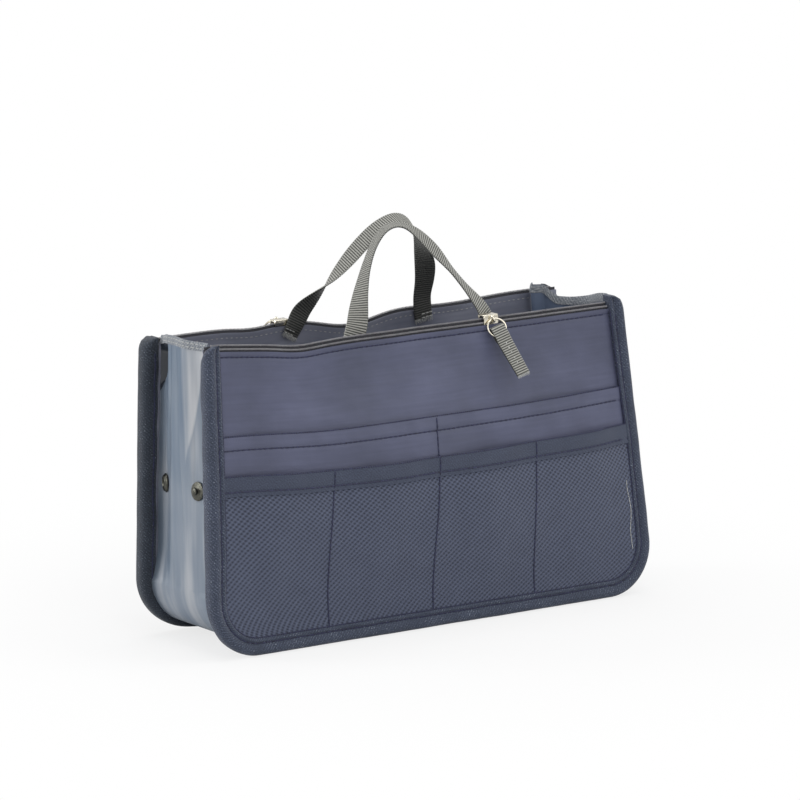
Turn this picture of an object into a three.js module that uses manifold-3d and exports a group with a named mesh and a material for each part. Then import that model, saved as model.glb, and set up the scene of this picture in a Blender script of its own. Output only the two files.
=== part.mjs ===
// Soft toiletry bag: two bound, zipped walls with pockets, joined by side gussets and a base cloth,
// with two webbing handles. Millimetres, +Z up, +X along the bag, +Y to the back.

import * as THREE from 'three';
import { mergeVertices } from 'three/addons/utils/BufferGeometryUtils.js';
import Module from 'manifold-3d';

// Overall sizes
const baseLength = 285;
const topLength = 267;
const wallHeight = 156;
const cornerRadius = 30;

// How far each wall's middle layer stands from the bag's centre plane, how far it bulges and how far its
// handle is sewn from its middle
const frontWall = { baseReach: 38, topReach: 19, bulge: 14.5, handleShift: 7 };
const backWall = { baseReach: 27, topReach: 36, bulge: 9, handleShift: 0 };

// Layers of a wall
const clothThickness = 0.5;
const foamThickness = 2;
const layerGap = 0.3;

// Pockets on the outer face, as heights above the floor
const slotPocketTop = 111;
const meshHemTop = 91;
const meshHemDepth = 8;
const meshHemThickness = 1;

// Binding tape folded round each wall's edge
const bindingWidth = 9;
const tapeThickness = 0.8;
const edgeTuck = 0.7;

// Gussets and base cloth
const gussetInset = 6;
const gussetThickness = 0.6;
const gussetTopDrop = 3;
const gussetFold = 6;
const gussetHemDepth = 5;
const gussetHemTape = 0.5;

// Snap fasteners on the gussets
const snapDiameter = 10;
const snapHeight = 82;
const snapSpacing = 32;
const snapSeatGap = 0.45;
const snapFlange = 0.8;
const socketHeight = 1.8;
const socketBore = 4.6;
const studDiameter = 4;
const studNeckDiameter = 3.2;
const studTipDiameter = 2.8;
const studHeight = 2.6;
const studTipDepth = 0.78;
const snapCapDiameter = 9;
const snapCapFace = 7.2;
const snapCapBevel = 0.4;
const snapPostDiameter = 2.6;
const snapHoleClearance = 0.4;

// Zip along each wall's top edge
const zipTapeDepth = 11;
const coilWidth = 1.2;
const coilHeight = 1.6;
const panelTopDrop = 4;
const sliderLength = 9;
const sliderWidth = 6;
const sliderPlate = 1.2;
const sliderSkirt = 3.6;
const zipRest = 47.5;

// Zip pull: eye on the slider, wire ring, folded webbing tab
const eyeRadius = 1.6;
const eyeWire = 1.1;
const ringRadius = 5;
const ringWire = 1;
const pullTilt = 28;
const pullStandoff = 1.5;
const tabWidth = 8.2;
const tabLength = 30;
const tabWebbing = 0.8;
const tabClearance = 0.3;
const tabTaper = 3;

// Handles
const strapWidth = 11;
const strapThickness = 1.2;
const legSpacing = 80;
const sewnSpacing = 92;
const handleLean = 20.5;
const apexRound = 46;
const apexGap = 0.8;
const tailLength = 14;
const pivotRise = 4;
const pivotGap = 0.45;
const sliderPassGap = 0.4;
const tailBend = 8;
const twistShare = 0.36;
const footShare = 0.14;

// Facets
const wallColumns = 12;
const wallRows = 16;
const rowCrowding = 1.4;
const rimFlatSteps = 5;
const rimCornerSteps = 6;
const rimLegSteps = 8;
const gussetColumns = 6;
const handleSteps = 36;
const wireSides = 8;
const eyeSteps = 16;
const ringSteps = 24;
const snapSides = 20;
const leanSteps = 12;

// Worked-out layer places, measured outwards from the foam's middle
const panelFrom = foamThickness / 2 + layerGap;
const panelTo = panelFrom + clothThickness;
const slotFrom = panelTo + layerGap;
const slotTo = slotFrom + clothThickness;
const meshFrom = slotTo + layerGap;
const meshTo = meshFrom + clothThickness;
const hemTo = meshFrom + meshHemThickness;
const bindingOuter = Math.max(meshTo, hemTo) + layerGap;
const bindingInner = panelTo + layerGap;
const edgeInset = tapeThickness + edgeTuck;
const gussetTop = wallHeight - gussetTopDrop;
const coilTop = wallHeight;
const coilBottom = coilTop - coilHeight;
const tailOffset = panelTo + layerGap + strapThickness / 2;
const pivotOffset = Math.max(sliderWidth / 2 + sliderPassGap + strapThickness / 2, tailOffset);
const pivotHeight = wallHeight + pivotRise;

const wasm = await Module();
wasm.setup();

const radians = THREE.MathUtils.degToRad;
const lerp = THREE.MathUtils.lerp;

function fabric(colour, roughness) {
  return new THREE.MeshStandardMaterial({ color: colour, roughness, metalness: 0 });
}

function metal(colour, roughness) {
  return new THREE.MeshStandardMaterial({ color: colour, roughness, metalness: 1 });
}

const finishes = {
  nylon: () => fabric(0x5c6076, 0.5),
  mesh: () => fabric(0x4e566a, 0.8),
  tape: () => fabric(0x465264, 0.75),
  foam: () => fabric(0xd8d8d4, 0.9),
  gusset: () => fabric(0x808a96, 0.35),
  zip: () => fabric(0x6e6e70, 0.6),
  webbing: () => fabric(0x8c8c87, 0.7),
  nickel: () => metal(0xc9c6bf, 0.25),
  gunmetal: () => metal(0x4a4a4e, 0.35),
};

function node(name, geometry, finish) {
  const mesh = new THREE.Mesh(geometry, finishes[finish]());
  mesh.name = name;
  return mesh;
}

function signedVolume(geometry) {
  const position = geometry.getAttribute('position');
  const index = geometry.getIndex();
  const corners = [new THREE.Vector3(), new THREE.Vector3(), new THREE.Vector3()];
  let sum = 0;
  for (let i = 0; i < index.count; i += 3) {
    corners.forEach((corner, k) => corner.fromBufferAttribute(position, index.getX(i + k)));
    sum += corners[0].dot(corners[1].clone().cross(corners[2])) / 6;
  }
  return sum;
}

function weld(geometry) {
  geometry.deleteAttribute('normal');
  geometry.deleteAttribute('uv');
  return mergeVertices(geometry, 1e-4);
}

// Moves every vertex of a plain geometry to its place on the bag, and keeps the faces pointing out
function form(geometry, place) {
  const shape = weld(geometry);
  const position = shape.getAttribute('position');
  for (let i = 0; i < position.count; i += 1) {
    const moved = place(position.getX(i), position.getY(i), position.getZ(i));
    position.setXYZ(i, moved.x, moved.y, moved.z);
  }
  if (signedVolume(shape) < 0) {
    const index = shape.getIndex();
    for (let i = 0; i < index.count; i += 3) {
      const second = index.getX(i + 1);
      index.setX(i + 1, index.getX(i + 2));
      index.setX(i + 2, second);
    }
  }
  shape.computeVertexNormals();
  return shape;
}

// A closed slab of columns and rows whose three coordinates run from 0 to 1 before it is formed.
// Its two broad faces are split along the same diagonals, so stacked layers bend alike.
function slab(columns, rows, place) {
  const positions = [];
  const index = [];
  const at = (i, j, k) => (k * (rows + 1) + j) * (columns + 1) + i;
  const quad = (a, b, c, d) => index.push(a, b, c, a, c, d);
  for (const k of [0, 1]) {
    for (let j = 0; j <= rows; j += 1) {
      for (let i = 0; i <= columns; i += 1) {
        positions.push(i / columns, j / rows, k);
      }
    }
  }
  for (let j = 0; j < rows; j += 1) {
    for (let i = 0; i < columns; i += 1) {
      quad(at(i, j, 1), at(i + 1, j, 1), at(i + 1, j + 1, 1), at(i, j + 1, 1));
      quad(at(i, j, 0), at(i, j + 1, 0), at(i + 1, j + 1, 0), at(i + 1, j, 0));
    }
    quad(at(0, j, 0), at(0, j, 1), at(0, j + 1, 1), at(0, j + 1, 0));
    quad(at(columns, j, 1), at(columns, j, 0), at(columns, j + 1, 0), at(columns, j + 1, 1));
  }
  for (let i = 0; i < columns; i += 1) {
    quad(at(i, 0, 0), at(i + 1, 0, 0), at(i + 1, 0, 1), at(i, 0, 1));
    quad(at(i, rows, 1), at(i + 1, rows, 1), at(i + 1, rows, 0), at(i, rows, 0));
  }
  const grid = new THREE.BufferGeometry();
  grid.setAttribute('position', new THREE.Float32BufferAttribute(positions, 3));
  grid.setIndex(index);
  return form(grid, place);
}

function polygon(points) {
  return new THREE.Shape(points.map(([x, y]) => new THREE.Vector2(x, y)));
}

// A section whose third coordinate runs from 0 to 1 along a path before it is formed
function swept(section, steps, place) {
  const options = { depth: 1, steps, bevelEnabled: false };
  return form(new THREE.ExtrudeGeometry(section, options), place);
}

function solid(geometry) {
  const vertProperties = new Float32Array(geometry.getAttribute('position').array);
  const triVerts = new Uint32Array(geometry.getIndex().array);
  return new wasm.Manifold(new wasm.Mesh({ numProp: 3, vertProperties, triVerts }));
}

function fromSolid(manifold) {
  const mesh = manifold.getMesh();
  const geometry = new THREE.BufferGeometry();
  geometry.setAttribute('position', new THREE.BufferAttribute(mesh.vertProperties, 3));
  geometry.setIndex(new THREE.BufferAttribute(mesh.triVerts, 1));
  geometry.computeVertexNormals();
  return geometry;
}

// Half of the wall's length at a height, inside its edge by inset, with the bottom corners rounded
function edgeHalf(z, inset) {
  const half = lerp(baseLength, topLength, Math.min(z / wallHeight, 1)) / 2 - inset;
  const radius = cornerRadius - inset;
  const rise = z - inset;
  if (rise >= radius) {
    return half;
  }
  return half - radius + Math.sqrt(Math.max(0, radius ** 2 - (radius - rise) ** 2));
}

// Distance of a wall's middle layer from the bag's centre plane
function wallReach(wall, x, z) {
  const t = Math.min(z / wallHeight, 1);
  const crown = Math.sin(Math.PI * t) ** 2 * (1 - (x / edgeHalf(z, 0)) ** 2);
  return lerp(wall.baseReach, wall.topReach, t) + wall.bulge * crown;
}

// A point on a wall, in a frame where -Y is outwards
function wallPoint(wall, x, z, offset) {
  return new THREE.Vector3(x, -(wallReach(wall, x, z) + offset), z);
}

// Heights of the facet rows that lie between two heights, so that all layers bend alike
function levelsBetween(bottom, top) {
  const levels = [bottom];
  for (let row = 1; row < wallRows; row += 1) {
    const level = lerp(edgeInset, wallHeight, (row / wallRows) ** rowCrowding);
    if (level > bottom + layerGap && level < top - layerGap) {
      levels.push(level);
    }
  }
  levels.push(top);
  return levels;
}

// A layer of a wall between two heights and two offsets, reaching into the binding
function layer(wall, bottom, top, from, to) {
  const levels = levelsBetween(bottom, top);
  const rows = levels.length - 1;
  return slab(wallColumns, rows, (a, b, c) => {
    const z = levels[Math.round(b * rows)];
    return wallPoint(wall, (2 * a - 1) * edgeHalf(z, edgeInset), z, lerp(from, to, c));
  });
}

// A point on the wall's rim: step 0 is the middle of the bottom, the last step is the top of a side
function rimPoint(step, inset) {
  if (step <= rimFlatSteps) {
    return { x: (step / rimFlatSteps) * (baseLength / 2 - cornerRadius), z: inset };
  }
  const cornerShare = (step - rimFlatSteps) / rimCornerSteps;
  if (cornerShare <= 1) {
    const z = inset + (cornerRadius - inset) * (1 - Math.cos(cornerShare * Math.PI / 2));
    return { x: edgeHalf(z, inset), z };
  }
  const z = lerp(cornerRadius, wallHeight, (step - rimFlatSteps - rimCornerSteps) / rimLegSteps);
  return { x: edgeHalf(z, inset), z };
}

function binding(wall) {
  const outer = bindingOuter + tapeThickness;
  const inner = -(bindingInner + tapeThickness);
  const section = polygon([
    [0, inner], [0, outer], [bindingWidth, outer], [bindingWidth, bindingOuter],
    [tapeThickness, bindingOuter], [tapeThickness, -bindingInner],
    [bindingWidth, -bindingInner], [bindingWidth, inner],
  ]);
  const steps = rimFlatSteps + rimCornerSteps + rimLegSteps;
  return swept(section, 2 * steps, (inset, offset, along) => {
    const step = Math.round((2 * along - 1) * steps);
    const rim = rimPoint(Math.abs(step), inset);
    return wallPoint(wall, Math.sign(step) * rim.x, rim.z, offset);
  });
}

// A straight bar along the zip, between two offsets and two heights
function zipBar(wall, from, to, bottom, top) {
  const half = edgeHalf(wallHeight, edgeInset);
  return slab(1, 1, (a, b, c) => new THREE.Vector3(
    lerp(-half, half, a),
    -(wall.topReach + lerp(from, to, c)),
    lerp(bottom, top, b),
  ));
}

function zipSlider(wall, eye, along) {
  const half = sliderWidth / 2;
  const channel = layerGap / 2 + coilWidth + layerGap;
  const under = coilTop + layerGap;
  const skirtEnd = coilTop - sliderSkirt;
  const section = polygon([
    [-half, skirtEnd], [-channel, skirtEnd], [-channel, under], [channel, under],
    [channel, skirtEnd], [half, skirtEnd], [half, under + sliderPlate], [-half, under + sliderPlate],
  ]);
  const body = swept(section, 1, (offset, z, share) => new THREE.Vector3(
    zipRest + (share - 0.5) * sliderLength,
    -(wall.topReach + offset),
    z,
  ));
  const loop = weld(new THREE.TorusGeometry(eyeRadius, eyeWire / 2, wireSides, eyeSteps));
  loop.applyQuaternion(new THREE.Quaternion().setFromUnitVectors(new THREE.Vector3(0, 0, 1), along));
  loop.translate(eye.x, eye.y, eye.z);
  return fromSolid(solid(body).add(solid(loop)));
}

// Outward lean at which the hanging pull clears the panel below the zip
function pullLean(wall, eyeOffset) {
  const reach = ringRadius + tabLength;
  const needed = panelTo + ringWire / 2 + tabClearance + tabWebbing + pullStandoff;
  let lean = 0;
  for (let i = 1; i <= leanSteps; i += 1) {
    const distance = (reach * i) / leanSteps;
    const z = coilBottom - distance * Math.cos(radians(pullTilt));
    const x = zipRest + distance * Math.sin(radians(pullTilt));
    const out = wallReach(wall, x, z) - wall.topReach + needed - eyeOffset;
    lean = Math.max(lean, Math.asin(Math.min(1, Math.max(0, out / distance))));
  }
  return lean;
}

// The slider's eye, the direction its ring turns about and the direction the pull hangs in
function pullFrame(wall) {
  const offset = sliderWidth / 2 + ringWire / 2 + tabClearance;
  const eye = new THREE.Vector3(zipRest, -(wall.topReach + offset), (coilTop + coilBottom) / 2);
  const tilt = radians(pullTilt);
  const along = new THREE.Vector3(Math.cos(tilt), 0, Math.sin(tilt));
  const lean = pullLean(wall, offset);
  const hang = new THREE.Vector3(Math.sin(tilt), 0, -Math.cos(tilt)).multiplyScalar(Math.cos(lean));
  hang.y = -Math.sin(lean);
  return { eye, along, hang };
}

function pullRing({ eye, along, hang }) {
  const ring = weld(new THREE.TorusGeometry(ringRadius, ringWire / 2, wireSides, ringSteps));
  const basis = new THREE.Matrix4().makeBasis(along, hang, along.clone().cross(hang));
  basis.setPosition(eye.clone().addScaledVector(hang, ringRadius));
  ring.applyMatrix4(basis);
  ring.computeVertexNormals();
  return ring;
}

// Webbing folded through the ring: two layers round the ring's lower half, sewn together below it
function pullTab({ eye, along, hang }) {
  const pocket = ringWire / 2 + tabClearance;
  const fold = pocket + tabWebbing;
  const top = ringRadius - ringWire;
  const pocketEnd = 2 * ringRadius + ringWire / 2 + tabClearance;
  const section = polygon([
    [top, -fold], [pocketEnd, -fold], [pocketEnd + tabTaper, -tabWebbing], [top + tabLength, -tabWebbing],
    [top + tabLength, tabWebbing], [pocketEnd + tabTaper, tabWebbing], [pocketEnd, fold], [top, fold],
  ]);
  const hole = polygon([
    [top + tabWebbing, -pocket], [pocketEnd, -pocket], [pocketEnd, pocket], [top + tabWebbing, pocket],
  ]);
  section.holes.push(hole);
  const normal = along.clone().cross(hang);
  return swept(section, 1, (down, out, share) => eye.clone()
    .addScaledVector(hang, down)
    .addScaledVector(normal, out)
    .addScaledVector(along, (share - 0.5) * tabWidth));
}

// Sewn end of a handle: flat on the inner panel, then clear of the passing zip slider
function handleTail(wall, side) {
  const bendEnd = wallHeight - sliderSkirt - layerGap;
  const bendStart = bendEnd - tailBend;
  const levels = [...levelsBetween(wallHeight - tailLength, bendStart), bendEnd, pivotHeight - pivotGap];
  const rows = levels.length - 1;
  return slab(2, rows, (a, b, c) => {
    const z = levels[Math.round(b * rows)];
    const raised = (z - levels[0]) / (levels[rows] - levels[0]);
    const x = wall.handleShift + side * lerp(sewnSpacing, legSpacing, raised) / 2 + (a - 0.5) * strapWidth;
    const reach = z < bendEnd ? wallReach(wall, x, z) - tailOffset : wall.topReach - pivotOffset;
    return new THREE.Vector3(x, -(reach + (0.5 - c) * strapThickness), z);
  });
}

// Free loop of a handle: slanting legs that meet in a rounded top. It faces outwards at its feet, which lie
// along the hinge line, and is turned a quarter so that it lies flat at its top
function handleLoop(wall, loopHeight) {
  const lean = radians(handleLean);
  const across = new THREE.Vector3(1, 0, 0);
  const up = new THREE.Vector3(0, Math.sin(lean), Math.cos(lean));
  const outward = new THREE.Vector3(0, -Math.cos(lean), Math.sin(lean));
  const pivot = new THREE.Vector3(wall.handleShift, -(wall.topReach - pivotOffset), pivotHeight);
  const half = legSpacing / 2;
  const top = loopHeight + apexRound;
  const slope = Math.sqrt((top - pivotGap) ** 2 - apexRound ** 2) / half;
  return slab(handleSteps, 2, (a, b, c) => {
    const x = -half * Math.cos(Math.PI * a);
    const fall = Math.hypot(slope * x, apexRound);
    const centre = pivot.clone().addScaledVector(across, x).addScaledVector(up, top - fall);
    const along = across.clone().addScaledVector(up, -(slope ** 2) * x / fall).normalize();
    const rim = across.clone().multiplyScalar(-along.dot(up)).addScaledVector(up, along.x);
    const fromFoot = Math.min(a, 1 - a);
    const twist = THREE.MathUtils.smoothstep(fromFoot, 0, twistShare) * Math.PI / 2;
    const face = outward.clone().multiplyScalar(Math.cos(twist)).addScaledVector(rim, Math.sin(twist));
    const square = along.clone().cross(face);
    const foot = across.clone().multiplyScalar(Math.sign(square.x));
    const width = foot.lerp(square, THREE.MathUtils.smoothstep(fromFoot, 0, footShare)).normalize();
    return centre
      .addScaledVector(width, (b - 0.5) * strapWidth)
      .addScaledVector(face, (c - 0.5) * strapThickness);
  });
}

function buildWall(name, wall, loopHeight) {
  const group = new THREE.Group();
  const foamTop = wallHeight - zipTapeDepth - layerGap;
  const panelTop = wallHeight - panelTopDrop;
  const hemBottom = meshHemTop - meshHemDepth;
  const tapeTop = coilBottom - layerGap;
  const tapeBottom = wallHeight - zipTapeDepth;
  const tapeFrom = layerGap / 2 + (coilWidth - clothThickness) / 2;
  const coilFrom = layerGap / 2;
  const coilTo = coilFrom + coilWidth;
  const pull = pullFrame(wall);
  const add = (part, geometry, finish) => group.add(node(`${name}_${part}`, geometry, finish));

  add('foam_pad', layer(wall, edgeInset, foamTop, -foamThickness / 2, foamThickness / 2), 'foam');
  add('outer_panel', layer(wall, edgeInset, panelTop, panelFrom, panelTo), 'nylon');
  add('inner_panel', layer(wall, edgeInset, panelTop, -panelTo, -panelFrom), 'nylon');
  add('slot_pocket', layer(wall, edgeInset, slotPocketTop, slotFrom, slotTo), 'nylon');
  add('mesh_pocket', layer(wall, edgeInset, hemBottom - layerGap, meshFrom, meshTo), 'mesh');
  add('mesh_hem', layer(wall, hemBottom, meshHemTop, meshFrom, hemTo), 'tape');
  add('binding', binding(wall), 'tape');
  for (const [part, sign] of [['outer', 1], ['inner', -1]]) {
    const tape = [sign * tapeFrom, sign * (tapeFrom + clothThickness)];
    add(`zip_${part}_tape`, layer(wall, tapeBottom, tapeTop, ...tape), 'zip');
    add(`zip_${part}_coil`, zipBar(wall, sign * coilFrom, sign * coilTo, coilBottom, coilTop), 'zip');
  }
  add('zip_slider', zipSlider(wall, pull.eye, pull.along), 'nickel');
  add('pull_ring', pullRing(pull), 'nickel');
  add('pull_tab', pullTab(pull), 'webbing');
  add('handle', handleLoop(wall, loopHeight), 'webbing');
  add('handle_left_tail', handleTail(wall, -1), 'webbing');
  add('handle_right_tail', handleTail(wall, 1), 'webbing');
  return group;
}

// Inward fold of a gusset, deepest at the top and midway between the walls
function gussetFoldAt(z, share) {
  const rise = Math.max(0, (z - cornerRadius) / (wallHeight - cornerRadius));
  return gussetFold * rise ** 2 * (1 - Math.abs(2 * share - 1));
}

// A point of the gusset strip: share runs from the front binding to the back binding
function stripPoint(side, x, z, share) {
  const butt = bindingInner + tapeThickness + layerGap;
  const front = -(wallReach(frontWall, x, z) - butt);
  const back = wallReach(backWall, x, z) - butt;
  return new THREE.Vector3(side * x, lerp(front, back, share), z);
}

function gussetPoint(side, z, inset, share) {
  return stripPoint(side, edgeHalf(z, inset), z, share);
}

function gusset(side) {
  const cornerEnd = rimFlatSteps + rimCornerSteps;
  const rows = rimCornerSteps + rimLegSteps;
  return slab(gussetColumns, rows, (a, b, c) => {
    const step = rimFlatSteps + Math.round(b * rows);
    const thickness = c * gussetThickness;
    if (step <= cornerEnd) {
      const rim = rimPoint(step, gussetInset + thickness);
      return stripPoint(side, rim.x, rim.z, a);
    }
    const z = lerp(cornerRadius, gussetTop, (step - cornerEnd) / rimLegSteps);
    return gussetPoint(side, z, gussetInset + gussetFoldAt(z, a) + thickness, a);
  });
}

function gussetHem(side) {
  const outer = -(layerGap + gussetHemTape);
  const inner = gussetThickness + layerGap + gussetHemTape;
  const section = polygon([
    [outer, gussetHemDepth], [outer, outer], [inner, outer], [inner, gussetHemDepth],
    [gussetThickness + layerGap, gussetHemDepth], [gussetThickness + layerGap, -layerGap],
    [-layerGap, -layerGap], [-layerGap, gussetHemDepth],
  ]);
  return swept(section, gussetColumns, (across, down, share) => {
    const z = gussetTop - down;
    return gussetPoint(side, z, gussetInset + gussetFoldAt(z, share) + across, share);
  });
}

function basePanel() {
  const half = baseLength / 2 - cornerRadius - layerGap;
  return slab(2 * rimFlatSteps, 1, (a, b, c) => {
    const x = lerp(-half, half, a);
    return stripPoint(1, x, gussetInset + c * gussetThickness, b);
  });
}

// Where a snap half sits on a gusset: the middle of the cloth and its outward normal
function snapSeat(side, direction) {
  const z = snapHeight;
  const depth = gussetPoint(side, z, gussetInset, 1).y - gussetPoint(side, z, gussetInset, 0).y;
  const share = 0.5 + (direction * snapSpacing) / 2 / depth;
  const at = (height, part) => {
    const inset = gussetInset + gussetFoldAt(height, part) + gussetThickness / 2;
    return gussetPoint(side, height, inset, part);
  };
  const centre = at(z, share);
  const rise = at(z + 1, share).sub(centre);
  const depthwise = at(z, share + 1 / depth).sub(centre);
  const normal = rise.cross(depthwise).normalize();
  if (normal.x * side < 0) {
    normal.negate();
  }
  return { centre, normal };
}

// A turned piece whose axis is the snap's, with heights measured outwards from the cloth's middle
function turned(profile, seat) {
  const points = profile.map(([radius, height]) => new THREE.Vector2(radius, height));
  const shape = weld(new THREE.LatheGeometry(points, snapSides));
  if (signedVolume(shape) < 0) {
    shape.getIndex().array.reverse();
  }
  shape.applyQuaternion(new THREE.Quaternion().setFromUnitVectors(new THREE.Vector3(0, 1, 0), seat.normal));
  shape.translate(seat.centre.x, seat.centre.y, seat.centre.z);
  shape.computeVertexNormals();
  return shape;
}

const snapFace = gussetThickness / 2 + snapSeatGap;

function snapSocket(seat) {
  const outer = snapDiameter / 2;
  const bore = socketBore / 2;
  return turned([
    [0, snapFace], [outer, snapFace], [outer, snapFace + snapFlange],
    [outer - snapFlange, snapFace + socketHeight], [bore, snapFace + socketHeight],
    [bore, snapFace + snapFlange], [0, snapFace + snapFlange],
  ], seat);
}

function snapStud(seat) {
  const tip = snapFace + studHeight;
  return turned([
    [0, snapFace], [snapDiameter / 2, snapFace], [snapDiameter / 2, snapFace + snapFlange],
    [studNeckDiameter / 2, snapFace + snapFlange], [studDiameter / 2, tip - studTipDepth],
    [studTipDiameter / 2, tip], [0, tip],
  ], seat);
}

// Cap on the inside, with its rivet post through the cloth up to the outer half
function snapCap(seat) {
  const cap = snapCapDiameter / 2;
  const capEnd = -snapFace - snapFlange;
  const post = snapPostDiameter / 2;
  return turned([
    [0, capEnd], [snapCapFace / 2, capEnd], [cap, capEnd + snapCapBevel],
    [cap, -snapFace], [post, -snapFace], [post, snapFace - layerGap], [0, snapFace - layerGap],
  ], seat);
}

function snapHole(seat) {
  const radius = snapPostDiameter / 2 + snapHoleClearance;
  const reach = snapDiameter;
  return turned([[0, -reach], [radius, -reach], [radius, reach], [0, reach]], seat);
}

function buildSide(name, side) {
  const group = new THREE.Group();
  const socketSeat = snapSeat(side, 1);
  const studSeat = snapSeat(side, -1);
  const holes = solid(snapHole(socketSeat)).add(solid(snapHole(studSeat)));
  const cloth = solid(gusset(side)).subtract(holes);
  group.add(
    node(`${name}_gusset`, fromSolid(cloth), 'gusset'),
    node(`${name}_gusset_hem`, gussetHem(side), 'tape'),
    node(`${name}_snap_socket`, snapSocket(socketSeat), 'gunmetal'),
    node(`${name}_snap_stud`, snapStud(studSeat), 'gunmetal'),
    node(`${name}_socket_cap`, snapCap(socketSeat), 'gunmetal'),
    node(`${name}_stud_cap`, snapCap(studSeat), 'gunmetal'),
  );
  return group;
}

// Loop height at which the two leaning handles meet over the middle of the opening
const pivotSpan = frontWall.topReach + backWall.topReach - 2 * pivotOffset;
const leanAngle = radians(handleLean);
const loopReach = (pivotSpan - apexGap - strapWidth * Math.cos(leanAngle)) / 2;
const loopHeight = loopReach / Math.sin(leanAngle);

const bag = new THREE.Group();
const front = buildWall('front', frontWall, loopHeight);
const back = buildWall('back', backWall, loopHeight);
back.rotation.z = Math.PI;
bag.add(front, back, buildSide('left', -1), buildSide('right', 1));
bag.add(node('base_panel', basePanel(), 'gusset'));

// The origin is on the floor, under the middle of the bag's box
bag.updateMatrixWorld(true);
const box = new THREE.Box3().setFromObject(bag, true);
const middle = box.getCenter(new THREE.Vector3());
bag.position.set(-middle.x, -middle.y, -box.min.z);
bag.updateMatrixWorld(true);

export default bag;
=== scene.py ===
import math
from functools import partial

import bpy
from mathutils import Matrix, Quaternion, Vector, noise


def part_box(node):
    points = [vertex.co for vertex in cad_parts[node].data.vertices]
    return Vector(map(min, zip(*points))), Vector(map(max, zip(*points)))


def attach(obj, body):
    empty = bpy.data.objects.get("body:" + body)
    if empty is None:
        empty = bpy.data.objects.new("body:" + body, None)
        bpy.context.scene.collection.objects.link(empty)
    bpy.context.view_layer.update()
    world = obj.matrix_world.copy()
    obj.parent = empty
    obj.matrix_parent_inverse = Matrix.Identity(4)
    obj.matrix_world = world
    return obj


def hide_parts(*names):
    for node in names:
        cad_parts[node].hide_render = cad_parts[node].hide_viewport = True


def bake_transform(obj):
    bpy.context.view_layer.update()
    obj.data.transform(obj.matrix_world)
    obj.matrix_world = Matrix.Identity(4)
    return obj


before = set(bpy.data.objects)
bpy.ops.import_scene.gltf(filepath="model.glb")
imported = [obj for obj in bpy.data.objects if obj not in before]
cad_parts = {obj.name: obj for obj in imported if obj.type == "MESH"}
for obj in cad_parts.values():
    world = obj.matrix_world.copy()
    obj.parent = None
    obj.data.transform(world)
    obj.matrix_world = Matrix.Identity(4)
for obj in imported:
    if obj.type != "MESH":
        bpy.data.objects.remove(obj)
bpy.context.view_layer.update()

mm = 0.001

# Camera and light

view = {
    "azimuth": -35.23,      # degrees, from the front-left
    "elevation": 11.48,
    "distance": 3400,       # mm
    "scale": 1.905,         # photo pixels per mm at the bag
    "aim": (5.5, -0.35, 112.8),
    "photoWidth": 800,
    "sensor": 36,
    "clipEnd": 50,          # metres
}


def aimAt(thing, target):
    thing.rotation_euler = (target - thing.location).to_track_quat("-Z", "Y").to_euler()


def buildCamera():
    azimuth = math.radians(view["azimuth"])
    elevation = math.radians(view["elevation"])
    target = Vector(view["aim"]) * mm
    away = Vector((math.sin(azimuth) * math.cos(elevation),
                   -math.cos(azimuth) * math.cos(elevation), math.sin(elevation)))
    bpy.ops.object.camera_add(location=target + away * view["distance"] * mm)
    camera = bpy.context.object
    camera.name = "photo_camera"
    aimAt(camera, target)
    camera.data.sensor_width = view["sensor"]
    camera.data.lens = view["sensor"] * view["distance"] * view["scale"] / view["photoWidth"]
    camera.data.clip_end = view["clipEnd"]
    bpy.context.scene.camera = camera
    print("camera at", [round(c, 3) for c in camera.location])


def startPiece(primitive, name=None, **sizes):
    bpy.ops.object.select_all(action="DESELECT")
    primitive(**sizes)
    piece = bpy.context.object
    if name:
        piece.name = name
    return piece


def hexColour(code):
    channels = [int(code[k:k + 2], 16) / 255 for k in (1, 3, 5)]
    linear = [c / 12.92 if c <= 0.04045 else ((c + 0.055) / 1.055) ** 2.4 for c in channels]
    return (*linear, 1)


def addNode(tree, kind, links=None, stops=(), **settings):
    # a link is a node, one of its outputs or a plain value; stops are the places and colours of a ramp
    made = tree.nodes.new("ShaderNode" + kind)
    for name, value in settings.items():
        setattr(made, name, value)
    for socket, value in (links or {}).items():
        if isinstance(value, bpy.types.Node):
            value = value.outputs[0]
        if isinstance(value, bpy.types.NodeSocket):
            tree.links.new(value, made.inputs[socket])
        else:
            made.inputs[socket].default_value = value
    if stops:
        band = made.color_ramp.elements
        while len(band) < len(stops):
            band.new(0.5)
        for element, (spot, code) in zip(band, stops):
            element.position = spot
            element.color = hexColour(code)
    return made


lamps = {                   # place and size in metres, power in watts
    "key": {"place": (-0.6, -2.3, 2.0), "size": 2.4, "power": 20},
    "fill": {"place": (2.0, -1.3, 2.3), "size": 2.6, "power": 17},
    "side": {"place": (-2.1, 1.5, 0.7), "size": 1.2, "power": 26},
    "top": {"place": (0.2, 0.3, 2.6), "size": 2.2, "power": 27},
}
# the paper is white to the eye from whiteFrom to whiteTo metres away, and partly so under the bag
studio = {"lampAim": (0, 0, 0.08), "world": 0.5, "floor": "#f6f6f6", "floorSize": 12,
          "whiteFrom": 0.13, "whiteTo": 0.34, "whiteNear": 0.77}


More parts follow.
